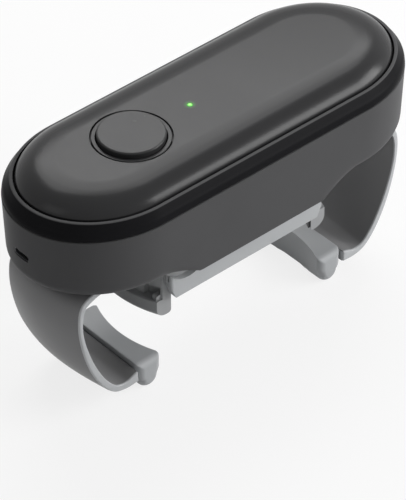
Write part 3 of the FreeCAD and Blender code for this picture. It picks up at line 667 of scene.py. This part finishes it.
    def shade(self, limit: float = 32.0) -> None:
        """Shade smooth, with sharp edges where faces turn by more than the limit in degrees."""
        for face in self.bm.faces:
            face.smooth = True
        for edge in self.bm.edges:
            edge.smooth = len(edge.link_faces) == 2 and edge.calc_face_angle(0.0) < math.radians(limit)


class Workshop:
    """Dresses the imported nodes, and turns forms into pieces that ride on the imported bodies."""

    def __init__(self, frame: dict[str, Any]) -> None:
        """Open the workshop and build every finish's material.

        Args:
            frame: The loaded frame.
        """
        self.frame = frame
        self.materials = {finish.slot: finish.material() for finish in FINISHES}
        self.slots = {e["node"]: e["material_slot"] for e in frame["record"]["subparts"]}
        bodies = frame["record"]["behaviour"]["bodies"]
        self.body_of = {node: body for body, members in bodies.items() for node in members}

    def dress(self, mesh: bpy.types.Mesh, slot: str) -> None:
        """Give a mesh the material of one of the record's slots."""
        mesh.materials.clear()
        mesh.materials.append(self.materials[slot])

    def dress_nodes(self) -> None:
        """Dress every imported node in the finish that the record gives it."""
        for node, slot in self.slots.items():
            self.dress(self.frame["nodes"][node].data, slot)

    def piece(self, form: Form, name: str, node: str) -> bpy.types.Object:
        """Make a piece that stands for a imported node.

        Args:
            form: Its form, in millimetres.
            name: Its name.
            node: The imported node.

        Returns:
            The piece.
        """
        form.outward()
        form.shade()
        bmesh.ops.translate(form.bm, vec=(0, 0, -FOOT), verts=form.bm.verts[:])
        bmesh.ops.scale(form.bm, vec=(MM, MM, MM), verts=form.bm.verts[:])
        made = form.body(name)
        form.bm.free()
        self.dress(made.data, self.slots[node])
        made.modifiers.new("flat_faces_lead", "WEIGHTED_NORMAL").keep_sharp = True
        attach(made, self.body_of[node])
        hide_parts(node)
        LOG.info("%s: %d faces, rides on %s, wears %s",
                 name, len(made.data.polygons), self.body_of[node], self.slots[node])
        return made

    def copy_of(self, node: str) -> Form:
        """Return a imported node's mesh as a form, merged and with its flat faces joined.

        Args:
            node: The node's name.

        Returns:
            The form, in millimetres.
        """
        form = Form()
        form.bm.from_mesh(self.frame["nodes"][node].data)
        bmesh.ops.scale(form.bm, vec=(1 / MM, 1 / MM, 1 / MM), verts=form.bm.verts[:])
        bmesh.ops.translate(form.bm, vec=(0, 0, FOOT), verts=form.bm.verts[:])
        form.weld()
        bmesh.ops.dissolve_limit(form.bm, angle_limit=math.radians(0.5), use_dissolve_boundaries=False,
                                 verts=form.bm.verts[:], edges=form.bm.edges[:], delimit={"SHARP"})
        return form


# ---- housing
@dataclass
class Housing:
    """The cover, the band and the lower body."""

    plan: Plan = Plan()
    half_width: float = 36.0
    seam_z: float = 100.35
    seam_gap: float = 0.4
    # the cover; its crown turns away from the flat top, as out and down
    rim_z: float = 107.1
    rim_half: float = 33.0
    groove: float = 0.7
    lip_flat: float = 1.2
    cover_top: float = 114.1
    flat_half: float = 16.6
    crown: tuple[Turn, ...] = (((2.4, 0.0), (5.0, 0.42)), ((6.1, 0.6), (7.5, 1.03)))
    shoulder: Point = (1.2, 2.8)
    foot_z: float = 103.0
    cover_wall: float = 2.1
    cover_inner: float = 29.2
    ring_hole: float = 16.2
    hole_edge: float = 0.22
    # the band; its outside turns as in and up
    band_inset: float = 0.15
    band_foot: float = 0.35
    band_turns: tuple[Turn, ...] = (((0, 0), (0, 0.55)), ((0.05, 2.4), (1.1, 3.5)))
    band_shoulder: Point = (2.1, 5.2)
    rim_splay: float = 0.1
    rim_soft: Point = (0.3, 0.35)
    lip_soft: float = 0.15
    ledge_drop: float = 0.2
    ledge_half: float = 28.6
    tongue: tuple[float, float] = (31.4, 33.3)
    tongue_depth: float = 3.0
    # the lower body; its wall narrows by the taper with each millimetre down
    wall: float = 2.2
    wall_soft: float = 0.3
    taper: float = 1.0 / 28.0
    wall_levels: tuple[float, ...] = (96.0, 91.0, 86.0, 81.0)
    floor_low: float = 70.6
    floor_high: float = 72.6
    floor_half: float = 20.0
    inner_slope: float = 3.2
    bottom_round: float = 6.5
    skirt_low: float = 65.6
    skirt_x: float = -1.8
    skirt_ends: tuple[float, float] = (32.3, 52.0)
    skirt_power: float = 1.65
    skirt_soft: float = 0.35
    skirt_levels: tuple[float, float] = (71.0, 68.5)
    skirt_root: Point = (0.4, 70.0)
    # what it lacks; a well is a radius and a depth, and the slot's run goes inwards
    holes_low: float = 69.0
    case_screws: tuple[float, float] = (44.0, 24.5)
    screw_well: tuple[float, float] = (3.1, 1.9)
    hub_hole: float = 9.9
    hub_top: float = 74.0
    socket: tuple[float, float] = (1.0, 84.7)
    slot_half: float = 2.9
    slot_radius: float = 1.75
    slot_run: tuple[float, float] = (-97.0, -88.0)

    def wall_half(self, z: float) -> float:
        """Return the half width of the lower body's wall at a height."""
        return self.half_width - (self.seam_z - z) * self.taper

    def cover(self) -> Form:
        """Build the domed cover with its holes for the button and the lamp.

        Returns:
            The form.
        """
        holes = ((Button.x, self.ring_hole, 128), (Lamp.x, Lamp.radius, 32))
        half = self.rim_half - self.lip_flat - self.groove
        flat, top, rim = self.flat_half, self.cover_top, self.rim_z
        inner, under = self.cover_inner, top - self.cover_wall
        crown = [tuple((flat + out, top - down) for out, down in turn) for turn in self.crown]
        corner = (half - self.shoulder[0], top - self.shoulder[1])
        form = Form()
        form.round_plan(self.plan, trace(
            (flat, top), *crown, (corner, (half, rim)), (half, self.foot_z), (inner, self.foot_z),
            (inner, rim), ((inner, under), (flat, under)), fineness=18))
        rims = form.open_edges()
        for z, side in ((top, 1.0), (under, -1.0)):
            level = [e for e in rims if abs(e.verts[0].co.z - z) < WELD]
            for x, radius, segments in holes:
                level += form.circle(radius, x, z, segments)
            bmesh.ops.triangle_fill(form.bm, use_beauty=True, use_dissolve=False, edges=level,
                                    normal=(0, 0, side))
        for x, radius, _ in holes:
            walls = [e for e in form.open_edges()
                     if all(abs(math.hypot(v.co.x - x, v.co.y) - radius) < 0.05 for v in e.verts)]
            form.bridge(walls, [])
        form.bevel(self.hole_edge, 2, keep=lambda e: all(
            abs(v.co.z - top) < WELD and math.hypot(v.co.x - Button.x, v.co.y) < self.ring_hole + 0.1
            for v in e.verts))
        return form

    def band(self) -> Form:
        """Build the dark band between the cover and the seam.

        Returns:
            The form.
        """
        foot = self.seam_z + self.seam_gap / 2
        outer = self.half_width - self.band_inset
        rim, top = self.rim_half, self.rim_z
        lip, ledge = rim - self.lip_flat, self.foot_z - self.ledge_drop
        near, far = self.tongue
        low, soft = foot - self.tongue_depth, self.lip_soft
        turns = [tuple((outer - inward, foot + up) for inward, up in turn) for turn in self.band_turns]
        shoulder = (outer - self.band_shoulder[0], foot + self.band_shoulder[1])
        form = Form()
        form.round_plan(self.plan, trace(
            (outer - self.band_foot, foot), *turns,
            (shoulder, (rim + self.rim_splay, top - self.rim_soft[1])),
            ((rim, top), (rim - self.rim_soft[0], top)),
            (lip + soft, top), ((lip, top), (lip, top - soft)), (lip, ledge), (self.ledge_half, ledge),
            (self.ledge_half, foot), (near, foot), (near, low), (far, low), (far, foot),
            fineness=6), closed=True)
        return form

    def skirt_share(self, x: float) -> float:
        """Return how far the skirt is down at x: 1 in the middle, running softly to 0 at its ends."""
        start, end = self.skirt_ends
        past = min(1.0, max(0.0, (abs(x - self.skirt_x) - start) / (end - start)))
        return (1.0 - past) ** self.skirt_power

    def lower_body(self) -> Form:
        """Build the lower body: tapered walls, a rounded bottom and a skirt along each side.

        Returns:
            The form.
        """
        top = self.seam_z - self.seam_gap / 2
        turn = self.floor_low + self.bottom_round
        wide = self.wall_half(turn)
        high = self.wall_half(top)
        wall = [(high - self.wall_soft, top), (high, top - self.wall_soft)]
        wall += [(self.wall_half(z), z) for z in self.wall_levels]
        bend = trace((wide, turn), ((wide, self.floor_low), (wide - self.bottom_round, self.floor_low)),
                     fineness=8)
        inside = self.wall_half(self.floor_high) - self.wall
        inner = [(0.0, self.floor_high), (inside - self.inner_slope, self.floor_high),
                 (inside, self.floor_high + self.inner_slope), (high - self.wall, top)]
        floor = [(self.floor_half, self.floor_low), (0.0, self.floor_low)]
        form = Form()
        row = form.round_plan(Plan(run_steps=80), inner + wall + bend + floor)
        first = len(inner) + len(wall) + 1
        low, edge, thick = self.skirt_low, self.skirt_soft, self.wall
        widening, root = self.skirt_root
        skirt = (*((0.0, z) for z in self.skirt_levels), (0.0, low + edge), (edge, low),
                 (thick - edge, low), (thick, low + edge), (thick, root),
                 (thick + widening, self.floor_low))
        for vert in form.bm.verts:
            share = self.skirt_share(vert.co.x)
            if share > 0 and 0 <= vert[row] - first < len(skirt):
                depth, z = skirt[vert[row] - first]
                there = Vector((vert.co.x, math.copysign(self.wall_half(z) - depth, vert.co.y), z))
                vert.co = vert.co.lerp(there, share)
        form.cut(self.openings())
        return form

    def openings(self) -> Form:
        """Build what the lower body lacks: the charging slot, the screw wells and the hub's hole.

        Returns:
            The form.
        """
        form = Form()
        y, z = self.socket
        half, radius = self.slot_half, self.slot_radius
        outside, inside = self.slot_run
        for side in (-1, 1):
            start = (outside, y + side * half, z + side * radius)
            edges = form.line([start, (inside, *start[1:])])
            edges = form.carry(edges, 16, -math.pi, (outside, y + side * half, z), (1, 0, 0))
            form.carry(edges, 1, shift=(0, -side * 2 * half, 0))
        form.weld()
        for x in (outside, inside):
            form.close(0, x)
        sx, sy = self.case_screws
        radius, depth = self.screw_well
        holes = [(a * sx, b * sy, radius, self.floor_low + depth) for a in (-1, 1) for b in (-1, 1)]
        for x, y, radius, high in [*holes, (0, 0, self.hub_hole, self.hub_top)]:
            middle = Matrix.Translation((x, y, (self.holes_low + high) / 2))
            bmesh.ops.create_cone(form.bm, cap_ends=True, segments=48, radius1=radius, radius2=radius,
                                  depth=high - self.holes_low, matrix=middle)
        return form

    def build(self, shop: Workshop) -> None:
        """Make the housing's pieces.

        Args:
            shop: The workshop.
        """
        shop.piece(self.cover(), "domed_cover", "top_cover")
        shop.piece(self.band(), "rim_band", "upper_band")
        shop.piece(self.lower_body(), "tapered_body", "lower_body")


# ---- button and lamp
@dataclass
class Button:
    """The push button, its ring and its spring."""

    x = -39.0
    travel: float = 1.5
    # the cap, with a boss in its middle and a collar on its stem
    radius: float = 13.6
    top: float = 116.2
    low: float = 110.8
    edge: float = 0.8
    dish: float = 0.05
    dish_rim: Point = (2.0, 0.02)
    wall: float = 1.6
    roof: float = 1.8
    boss: float = 6.6
    stem: float = 3.0
    stem_low: float = 100.8
    collar: float = 4.2
    collar_low: float = 103.4
    collar_high: float = 104.4
    collar_soft: float = 0.1
    # the ring, with a flange under the cover
    ring_in: float = 13.95
    ring_out: float = 15.7
    ring_top: float = 114.05
    ring_low: float = 104.7
    ring_floor: float = 106.2
    flange: float = 18.4
    flange_low: float = 110.6
    flange_high: float = 112.0
    # the stem's play in the ring, and the softness of both
    play: float = 0.06
    soft: float = 0.3

    def cap(self) -> Form:
        """Build the cap: a flat top with a soft edge, hollow below, on its stem.

        Returns:
            The form.
        """
        r, top, low, roof = self.radius, self.top, self.low, self.top - self.roof
        stem, collar, foot = self.stem, self.collar, self.stem_low
        below, above, slant, soft = self.collar_low, self.collar_high, self.collar_soft, self.soft
        inward, down = self.dish_rim
        form = Form()
        form.turned(trace(
            (0, top - self.dish), (r - inward, top - down), (r - self.edge, top),
            ((r, top), (r, top - self.edge)), (r, low + soft), (r - soft, low),
            (r - self.wall, low), (r - self.wall, roof), (self.boss, roof), (self.boss, low),
            (stem, low), (stem, above), (collar - slant, above), (collar, above - slant),
            (collar, below + slant), (collar - slant, below), (stem, below), (stem, foot + soft),
            (stem - soft, foot), (0, foot), fineness=10), 160, self.x)
        return form

    def ring(self) -> Form:
        """Build the ring that the cap moves in.

        Returns:
            The form.
        """
        a, b, top, low = self.ring_in, self.ring_out, self.ring_top, self.ring_low
        bore, soft = self.stem + self.play, self.soft
        form = Form()
        form.turned(trace(
            (a, top - soft), ((a, top), (a + soft, top)), (b - soft, top), ((b, top), (b, top - soft)),
            (b, self.flange_high), (self.flange, self.flange_high), (self.flange, self.flange_low),
            (b, self.flange_low), (b, low), (bore, low), (bore, self.ring_floor), (a, self.ring_floor),
            fineness=4), 160, self.x, closed=True)
        return form

    def build(self, shop: Workshop) -> None:
        """Make the button's pieces.

        Args:
            shop: The workshop.
        """
        shop.piece(self.cap(), "push_cap", "button_cap")
        shop.piece(self.ring(), "cap_ring", "button_ring")
        spring = shop.piece(shop.copy_of("button_spring"), "return_spring", "button_spring")
        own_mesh(spring)


@dataclass
class Lamp:
    """The small lamp beside the button, with a flange under the cover."""

    x = -9.2
    radius = 1.1
    top: float = 114.25
    low: float = 96.8
    flange: float = 2.2
    flange_low: float = 110.8
    flange_high: float = 112.0
    play: float = 0.02
    soft: float = 0.35

    def build(self, shop: Workshop) -> None:
        """Make the light guide.

        Args:
            shop: The workshop.
        """
        r, low, high = self.radius - self.play, self.flange_low, self.flange_high
        form = Form()
        form.turned(trace(
            (0, self.top), ((r, self.top), (r, self.top - self.soft)), (r, high), (self.flange, high),
            (self.flange, low), (r, low), (r, self.low), (0, self.low), fineness=8), 48, self.x)
        shop.piece(form, "light_guide", "light_pipe")


# ---- arms
@dataclass
class Arm:
    """One sliding arm with its skins and its jar pad, drawn for the right-hand side."""

    half: float = 21.6
    # the wall: a station is x, height, thickness and how far the middle bulges out
    stations: tuple[tuple[float, float, float, float], ...] = (
        (73.5, 70.3, 3.0, 0.0), (79.75, 68.5, 2.9, 1.6), (83.4, 65.3, 2.5, 2.9),
        (84.65, 58.6, 2.1, 3.6), (84.15, 49.9, 2.0, 3.8), (81.85, 38.85, 2.5, 3.8),
        (78.1, 28.2, 2.9, 3.6), (73.1, 19.25, 3.0, 2.6), (67.65, 13.5, 3.0, 1.2),
        (61.95, 11.7, 3.5, 0.2), (55.4, 11.95, 5.2, 0.0),
    )
    plate_run: tuple[float, ...] = (50.0, 58.0, 65.0)
    rim: float = 0.7
    skin: float = 0.6
    tuck: float = 0.04
    core_soft: tuple[float, int] = (0.55, 3)
    skin_soft: tuple[float, int] = (0.18, 2)
    wall_steps: int = 9
    cross_steps: int = 16
    notch_size: Triple = (15.0, 12.0, 10.0)
    notch_at: Triple = (54.5, 21.0, 69.0)
    # the pad; its steps are those round an end and those along its middle
    pad_in: float = 42.75
    pad_out: float = 55.0
    pad_top: float = 18.85
    back_round: float = 0.5
    front_round: float = 0.8
    back_bend: Point = (2.8, 0.6)
    front_bend: float = 3.5
    nose: float = 4.6
    nose_flat: float = 0.15
    jar: float = 47.0
    pad_gap: float = 0.3
    end_round: float = 3.4
    pad_soft: tuple[float, int, float] = (0.7, 4, 60.0)
    pad_steps: tuple[int, int] = (10, 30)

    def wall_band(self, outside: Callable[[float], float], inside: Callable[[float], float],
                  half: float, soft: tuple[float, int], plate: Sequence[float] = ()) -> Form:
        """Build a band of the wall between two depths.

        Args:
            outside: Depth of its outer face, from the wall's thickness.
            inside: Depth of its inner face.
            half: Half its width.
            soft: Width and pieces of its softened edges.
            plate: Where its run through the sliding plate has points.

        Returns:
            The form.
        """
        form = Form()
        line, bulges = (smooth_line([(s[0], s[1], s[k]) for s in self.stations], self.wall_steps,
                                    (1.0, 0.0, 0.0)) for k in (2, 3))
        line = [Vector((x, *self.stations[0][1:3])) for x in plate] + line
        bulges = [Vector()] * len(plate) + bulges
        sides: list[list[Triple]] = [[], []]
        for i, here in enumerate(line):
            before, after = line[max(0, i - 1)], line[min(len(line) - 1, i + 1)]
            along = (after - before).to_2d().normalized()
            for points, depth in zip(sides, (outside(here.z), inside(here.z))):
                points.append((here.x + along.y * depth, -half, here.y - along.x * depth))
        bulge = form.bm.verts.layers.float.new("bulge")
        chains = [form.line(points) for points in sides]
        for vert, far in zip(form.bm.verts, bulges * 2):
            vert[bulge] = far.z
        form.thicken(form.bridge(*chains), (0, 2 * half, 0))
        across = [e for e in form.bm.edges if abs(e.verts[0].co.y - e.verts[1].co.y) > half]
        bmesh.ops.subdivide_edges(form.bm, edges=across, cuts=self.cross_steps - 1, use_grid_fill=True)
        for vert in form.bm.verts:
            vert.co.x += vert[bulge] * (1.0 - (vert.co.y / self.half) ** 2)
        form.bevel(*soft)
        return form

    def core(self) -> Form:
        """Build the pale core with its bare rims and its sliding plate.

        Returns:
            The form.
        """
        form = self.wall_band(lambda t: self.tuck, lambda t: t - self.tuck, self.half, self.core_soft,
                              self.plate_run)
        notch = Form()
        bmesh.ops.create_cube(notch.bm, size=1.0)
        bmesh.ops.scale(notch.bm, vec=self.notch_size, verts=notch.bm.verts[:])
        bmesh.ops.translate(notch.bm, vec=self.notch_at, verts=notch.bm.verts[:])
        form.cut(notch)
        return form

    def outer_skin(self) -> Form:
        """Build the dark skin on the outside."""
        return self.wall_band(lambda t: 0.0, lambda t: self.skin, self.half - self.rim, self.skin_soft)

    def liner(self) -> Form:
        """Build the dark liner on the inside."""
        return self.wall_band(lambda t: t - self.skin, lambda t: t, self.half - self.rim,
                              self.skin_soft)

    def pad(self) -> Form:
        """Build the jar pad: a bar with a round nose, hollowed for the jar.

        Returns:
            The form.
        """
        near, far, top = self.pad_in, self.pad_out, self.pad_top
        back, front = self.back_round, self.front_round
        mid = (near + far) / 2
        r, low = self.nose, FOOT + self.nose - self.nose_flat
        start, corner = (low + up for up in self.back_bend)
        section = trace(
            (far - back, top), ((far, top), (far, top - back)), (far, start),
            ((far, corner), (mid + r, low)), ((mid + r, low - r), (mid, low - r)),
            ((mid - r, low - r), (mid - r, low)), (near, low + self.front_bend),
            (near, top - front), ((near, top), (near + front, top)), (mid, top), fineness=8)
        half, curve = self.half - self.pad_gap, self.end_round
        turn, run = self.pad_steps
        form = Form()
        edges = form.line([(x, -1.0, z) for x, z in section], closed=True)
        form.carry(edges, 2 * turn + run, shift=(0, 2.0 / (2 * turn + run), 0))
        middle = Vector((mid, 0.0, (top + FOOT) / 2))
        wide, high = (far - near) / 2, (top - FOOT) / 2
        for vert in form.bm.verts:
            step = (1.0 - abs(vert.co.y)) * (turn + run / 2)
            angle = math.pi / 2 * min(1.0, step / turn)
            inset = curve * (1.0 - math.sin(angle))
            reach = half - curve * (1.0 - math.cos(angle))
            if step > turn:
                reach = (half - curve) * (1.0 - (step - turn) / (run / 2))
            vert.co.y = math.copysign(reach, vert.co.y)
            vert.co.x = middle.x + (vert.co.x - middle.x) * (1.0 - inset / wide)
            vert.co.z = middle.z + (vert.co.z - middle.z) * (1.0 - inset / high)
            vert.co.x = max(vert.co.x, math.sqrt(self.jar ** 2 - vert.co.y ** 2))
            vert.co.z = max(vert.co.z, FOOT)
        for y in (-half, half):
            form.close(1, y)
        form.weld(0.01)
        form.bevel(*self.pad_soft)
        return form

    def build(self, shop: Workshop) -> None:
        """Make both arms' pieces.

        Args:
            shop: The workshop.
        """
        makers = ((self.core, "arm_core", "arm"), (self.outer_skin, "outer_skin", "arm_skin"),
                  (self.liner, "inner_liner", "arm_liner"), (self.pad, "jar_rest", "jar_pad"))
        for side in ("right", "left"):
            for maker, name, node in makers:
                form = maker()
                if side == "left":
                    form.half_turn()
                shop.piece(form, f"{side}_{name}", f"{side}_{node}")


# ---- rotor and jaws
@dataclass
class Gripper:
    """The rotor under the housing and the two jaws that slide on it."""

    soft: tuple[float, int, float] = (0.3, 2, 40.0)
    names: tuple[tuple[str, str], ...] = (
        ("rotor_frame", "rotor_bar"), ("right_lid_jaw", "right_jaw_body"),
        ("left_lid_jaw", "left_jaw_body"))

    def build(self, shop: Workshop) -> None:
        """Make the rotor's and the jaws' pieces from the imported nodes, with softened edges.

        Args:
            shop: The workshop.
        """
        for node, name in self.names:
            form = shop.copy_of(node)
            form.bevel(*self.soft)
            form.weld()
            shop.piece(form, name, node)


# ---- scene
def towards(azimuth: float, elevation: float) -> Vector:
    """Return the direction at an azimuth, from -Y towards +X, and an elevation, both in degrees."""
    a, e = math.radians(azimuth), math.radians(elevation)
    return Vector((math.sin(a) * math.cos(e), -math.cos(a) * math.cos(e), math.sin(e)))


@dataclass
class Softbox:
    """A rectangular lamp, placed round the opener in degrees and metres, with its power in watts."""

    name: str
    azimuth: float
    elevation: float
    distance: float
    size: tuple[float, float]
    power: float

    def hang(self, middle: Vector) -> None:
        """Hang the lamp so that it faces a point.

        Args:
            middle: The point.
        """
        away = towards(self.azimuth, self.elevation)
        data = bpy.data.lights.new(self.name, "AREA")
        data.shape = "RECTANGLE"
        data.size, data.size_y = self.size
        data.energy = self.power
        lamp = bpy.data.objects.new(self.name, data)
        lamp.location = middle + away * self.distance
        lamp.rotation_euler = away.to_track_quat("Z", "Y").to_euler()
        bpy.context.scene.collection.objects.link(lamp)


@dataclass
class Studio:
    """The floor, the background, the lamps and the camera."""

    middle: Triple = (0.0, 0.0, 0.070)
    sky: float = 0.25
    floor_half: float = 6.0
    floor_glow: float = 0.8
    floor_tones: tuple[float, float] = (0.80, 0.84)
    floor_cloud: float = 90.0
    boxes: tuple[Softbox, ...] = (
        Softbox("back_box", 140.0, 54.0, 1.1, (0.9, 0.6), 6.2),
        Softbox("back_strip", 140.0, 39.5, 1.1, (0.9, 0.08), 1.2),
        Softbox("left_box", -95.0, 34.0, 1.1, (0.5, 0.5), 0.6),
        Softbox("front_box", 48.0, 22.0, 1.3, (0.9, 0.6), 16.5),
    )
    azimuth: float = -41.52
    elevation: float = 39.96
    lens: float = 259.2
    distance: float = 1.40433
    aim_z: float = 0.1022
    slide: tuple[float, float] = (-0.001773, -0.054927)

    def backdrop(self) -> None:
        """Lay the pale floor and set the pale background."""
        graph = Graph(bpy.data.materials.new("floor"))
        clouds = graph.noise(graph.place(), self.floor_cloud, 3.0)
        tone = graph.mix(clouds, *((grey, grey, grey) for grey in self.floor_tones))
        diffuse = graph.node("BsdfDiffuse", {"Color": tone})
        glow = graph.node("Emission", {"Color": (1.0, 1.0, 1.0), "Strength": 1.0})
        seen = self.looked_at(graph) * self.floor_glow
        both = graph.node("MixShader", {0: seen, 1: diffuse.outputs[0], 2: glow.outputs[0]})
        graph.node("OutputMaterial", {"Surface": both.outputs[0]})
        form = Form()
        bmesh.ops.create_grid(form.bm, x_segments=1, y_segments=1, size=self.floor_half)
        floor = form.body("floor")
        floor.data.materials.append(graph.owner)
        world = bpy.data.worlds.new("studio")
        bpy.context.scene.world = world
        sky = Graph(world)
        tone = sky.mix(self.looked_at(sky), (self.sky, self.sky, self.sky), (1.0, 1.0, 1.0))
        plain = sky.node("Background", {"Color": tone, "Strength": 1.0})
        sky.node("OutputWorld", {"Surface": plain.outputs[0]})

    @staticmethod
    def looked_at(graph: Graph) -> Value:
        """Return 1 for what is seen straight on, in a mirror or through glass, and 0 for light.

        Args:
            graph: The graph to add to.

        Returns:
            The share.
        """
        path = graph.node("LightPath", {})
        camera, mirror, glass = (Value(graph, path.outputs[f"Is {kind} Ray"])
                                 for kind in ("Camera", "Glossy", "Transmission"))
        return graph.maths("MINIMUM", camera + mirror + glass, 1.0)

    def camera(self) -> None:
        """Place the camera."""
        back, right = towards(self.azimuth, self.elevation), towards(self.azimuth + 90.0, 0.0)
        up = back.cross(right)
        data = bpy.data.cameras.new("camera")
        data.lens = self.lens
        data.sensor_width = 36.0
        data.clip_start, data.clip_end = 0.05, 20.0
        camera = bpy.data.objects.new("camera", data)
        aside, above = self.slide
        place = Vector((0, 0, self.aim_z)) + back * self.distance + right * aside + up * above
        turned = Matrix((right, up, back)).transposed().to_4x4()
        camera.matrix_world = Matrix.Translation(place) @ turned
        bpy.context.scene.collection.objects.link(camera)
        bpy.context.scene.camera = camera

    def build(self) -> None:
        """Set up the whole studio."""
        bpy.context.scene.view_settings.view_transform = "Standard"
        self.backdrop()
        self.camera()
        for box in self.boxes:
            box.hang(Vector(self.middle))


def main() -> None:
    """Build the opener and its studio."""
    logging.basicConfig(level=logging.INFO, format="%(name)s: %(message)s")
    bpy.ops.wm.read_factory_settings(use_empty=True)
    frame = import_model()
    shop = Workshop(frame)
    shop.dress_nodes()
    Studio().build()
    for assembly in (Housing(), Button(), Lamp(), Arm(), Gripper()):
        assembly.build(shop)


if __name__ == "__main__":
    main()
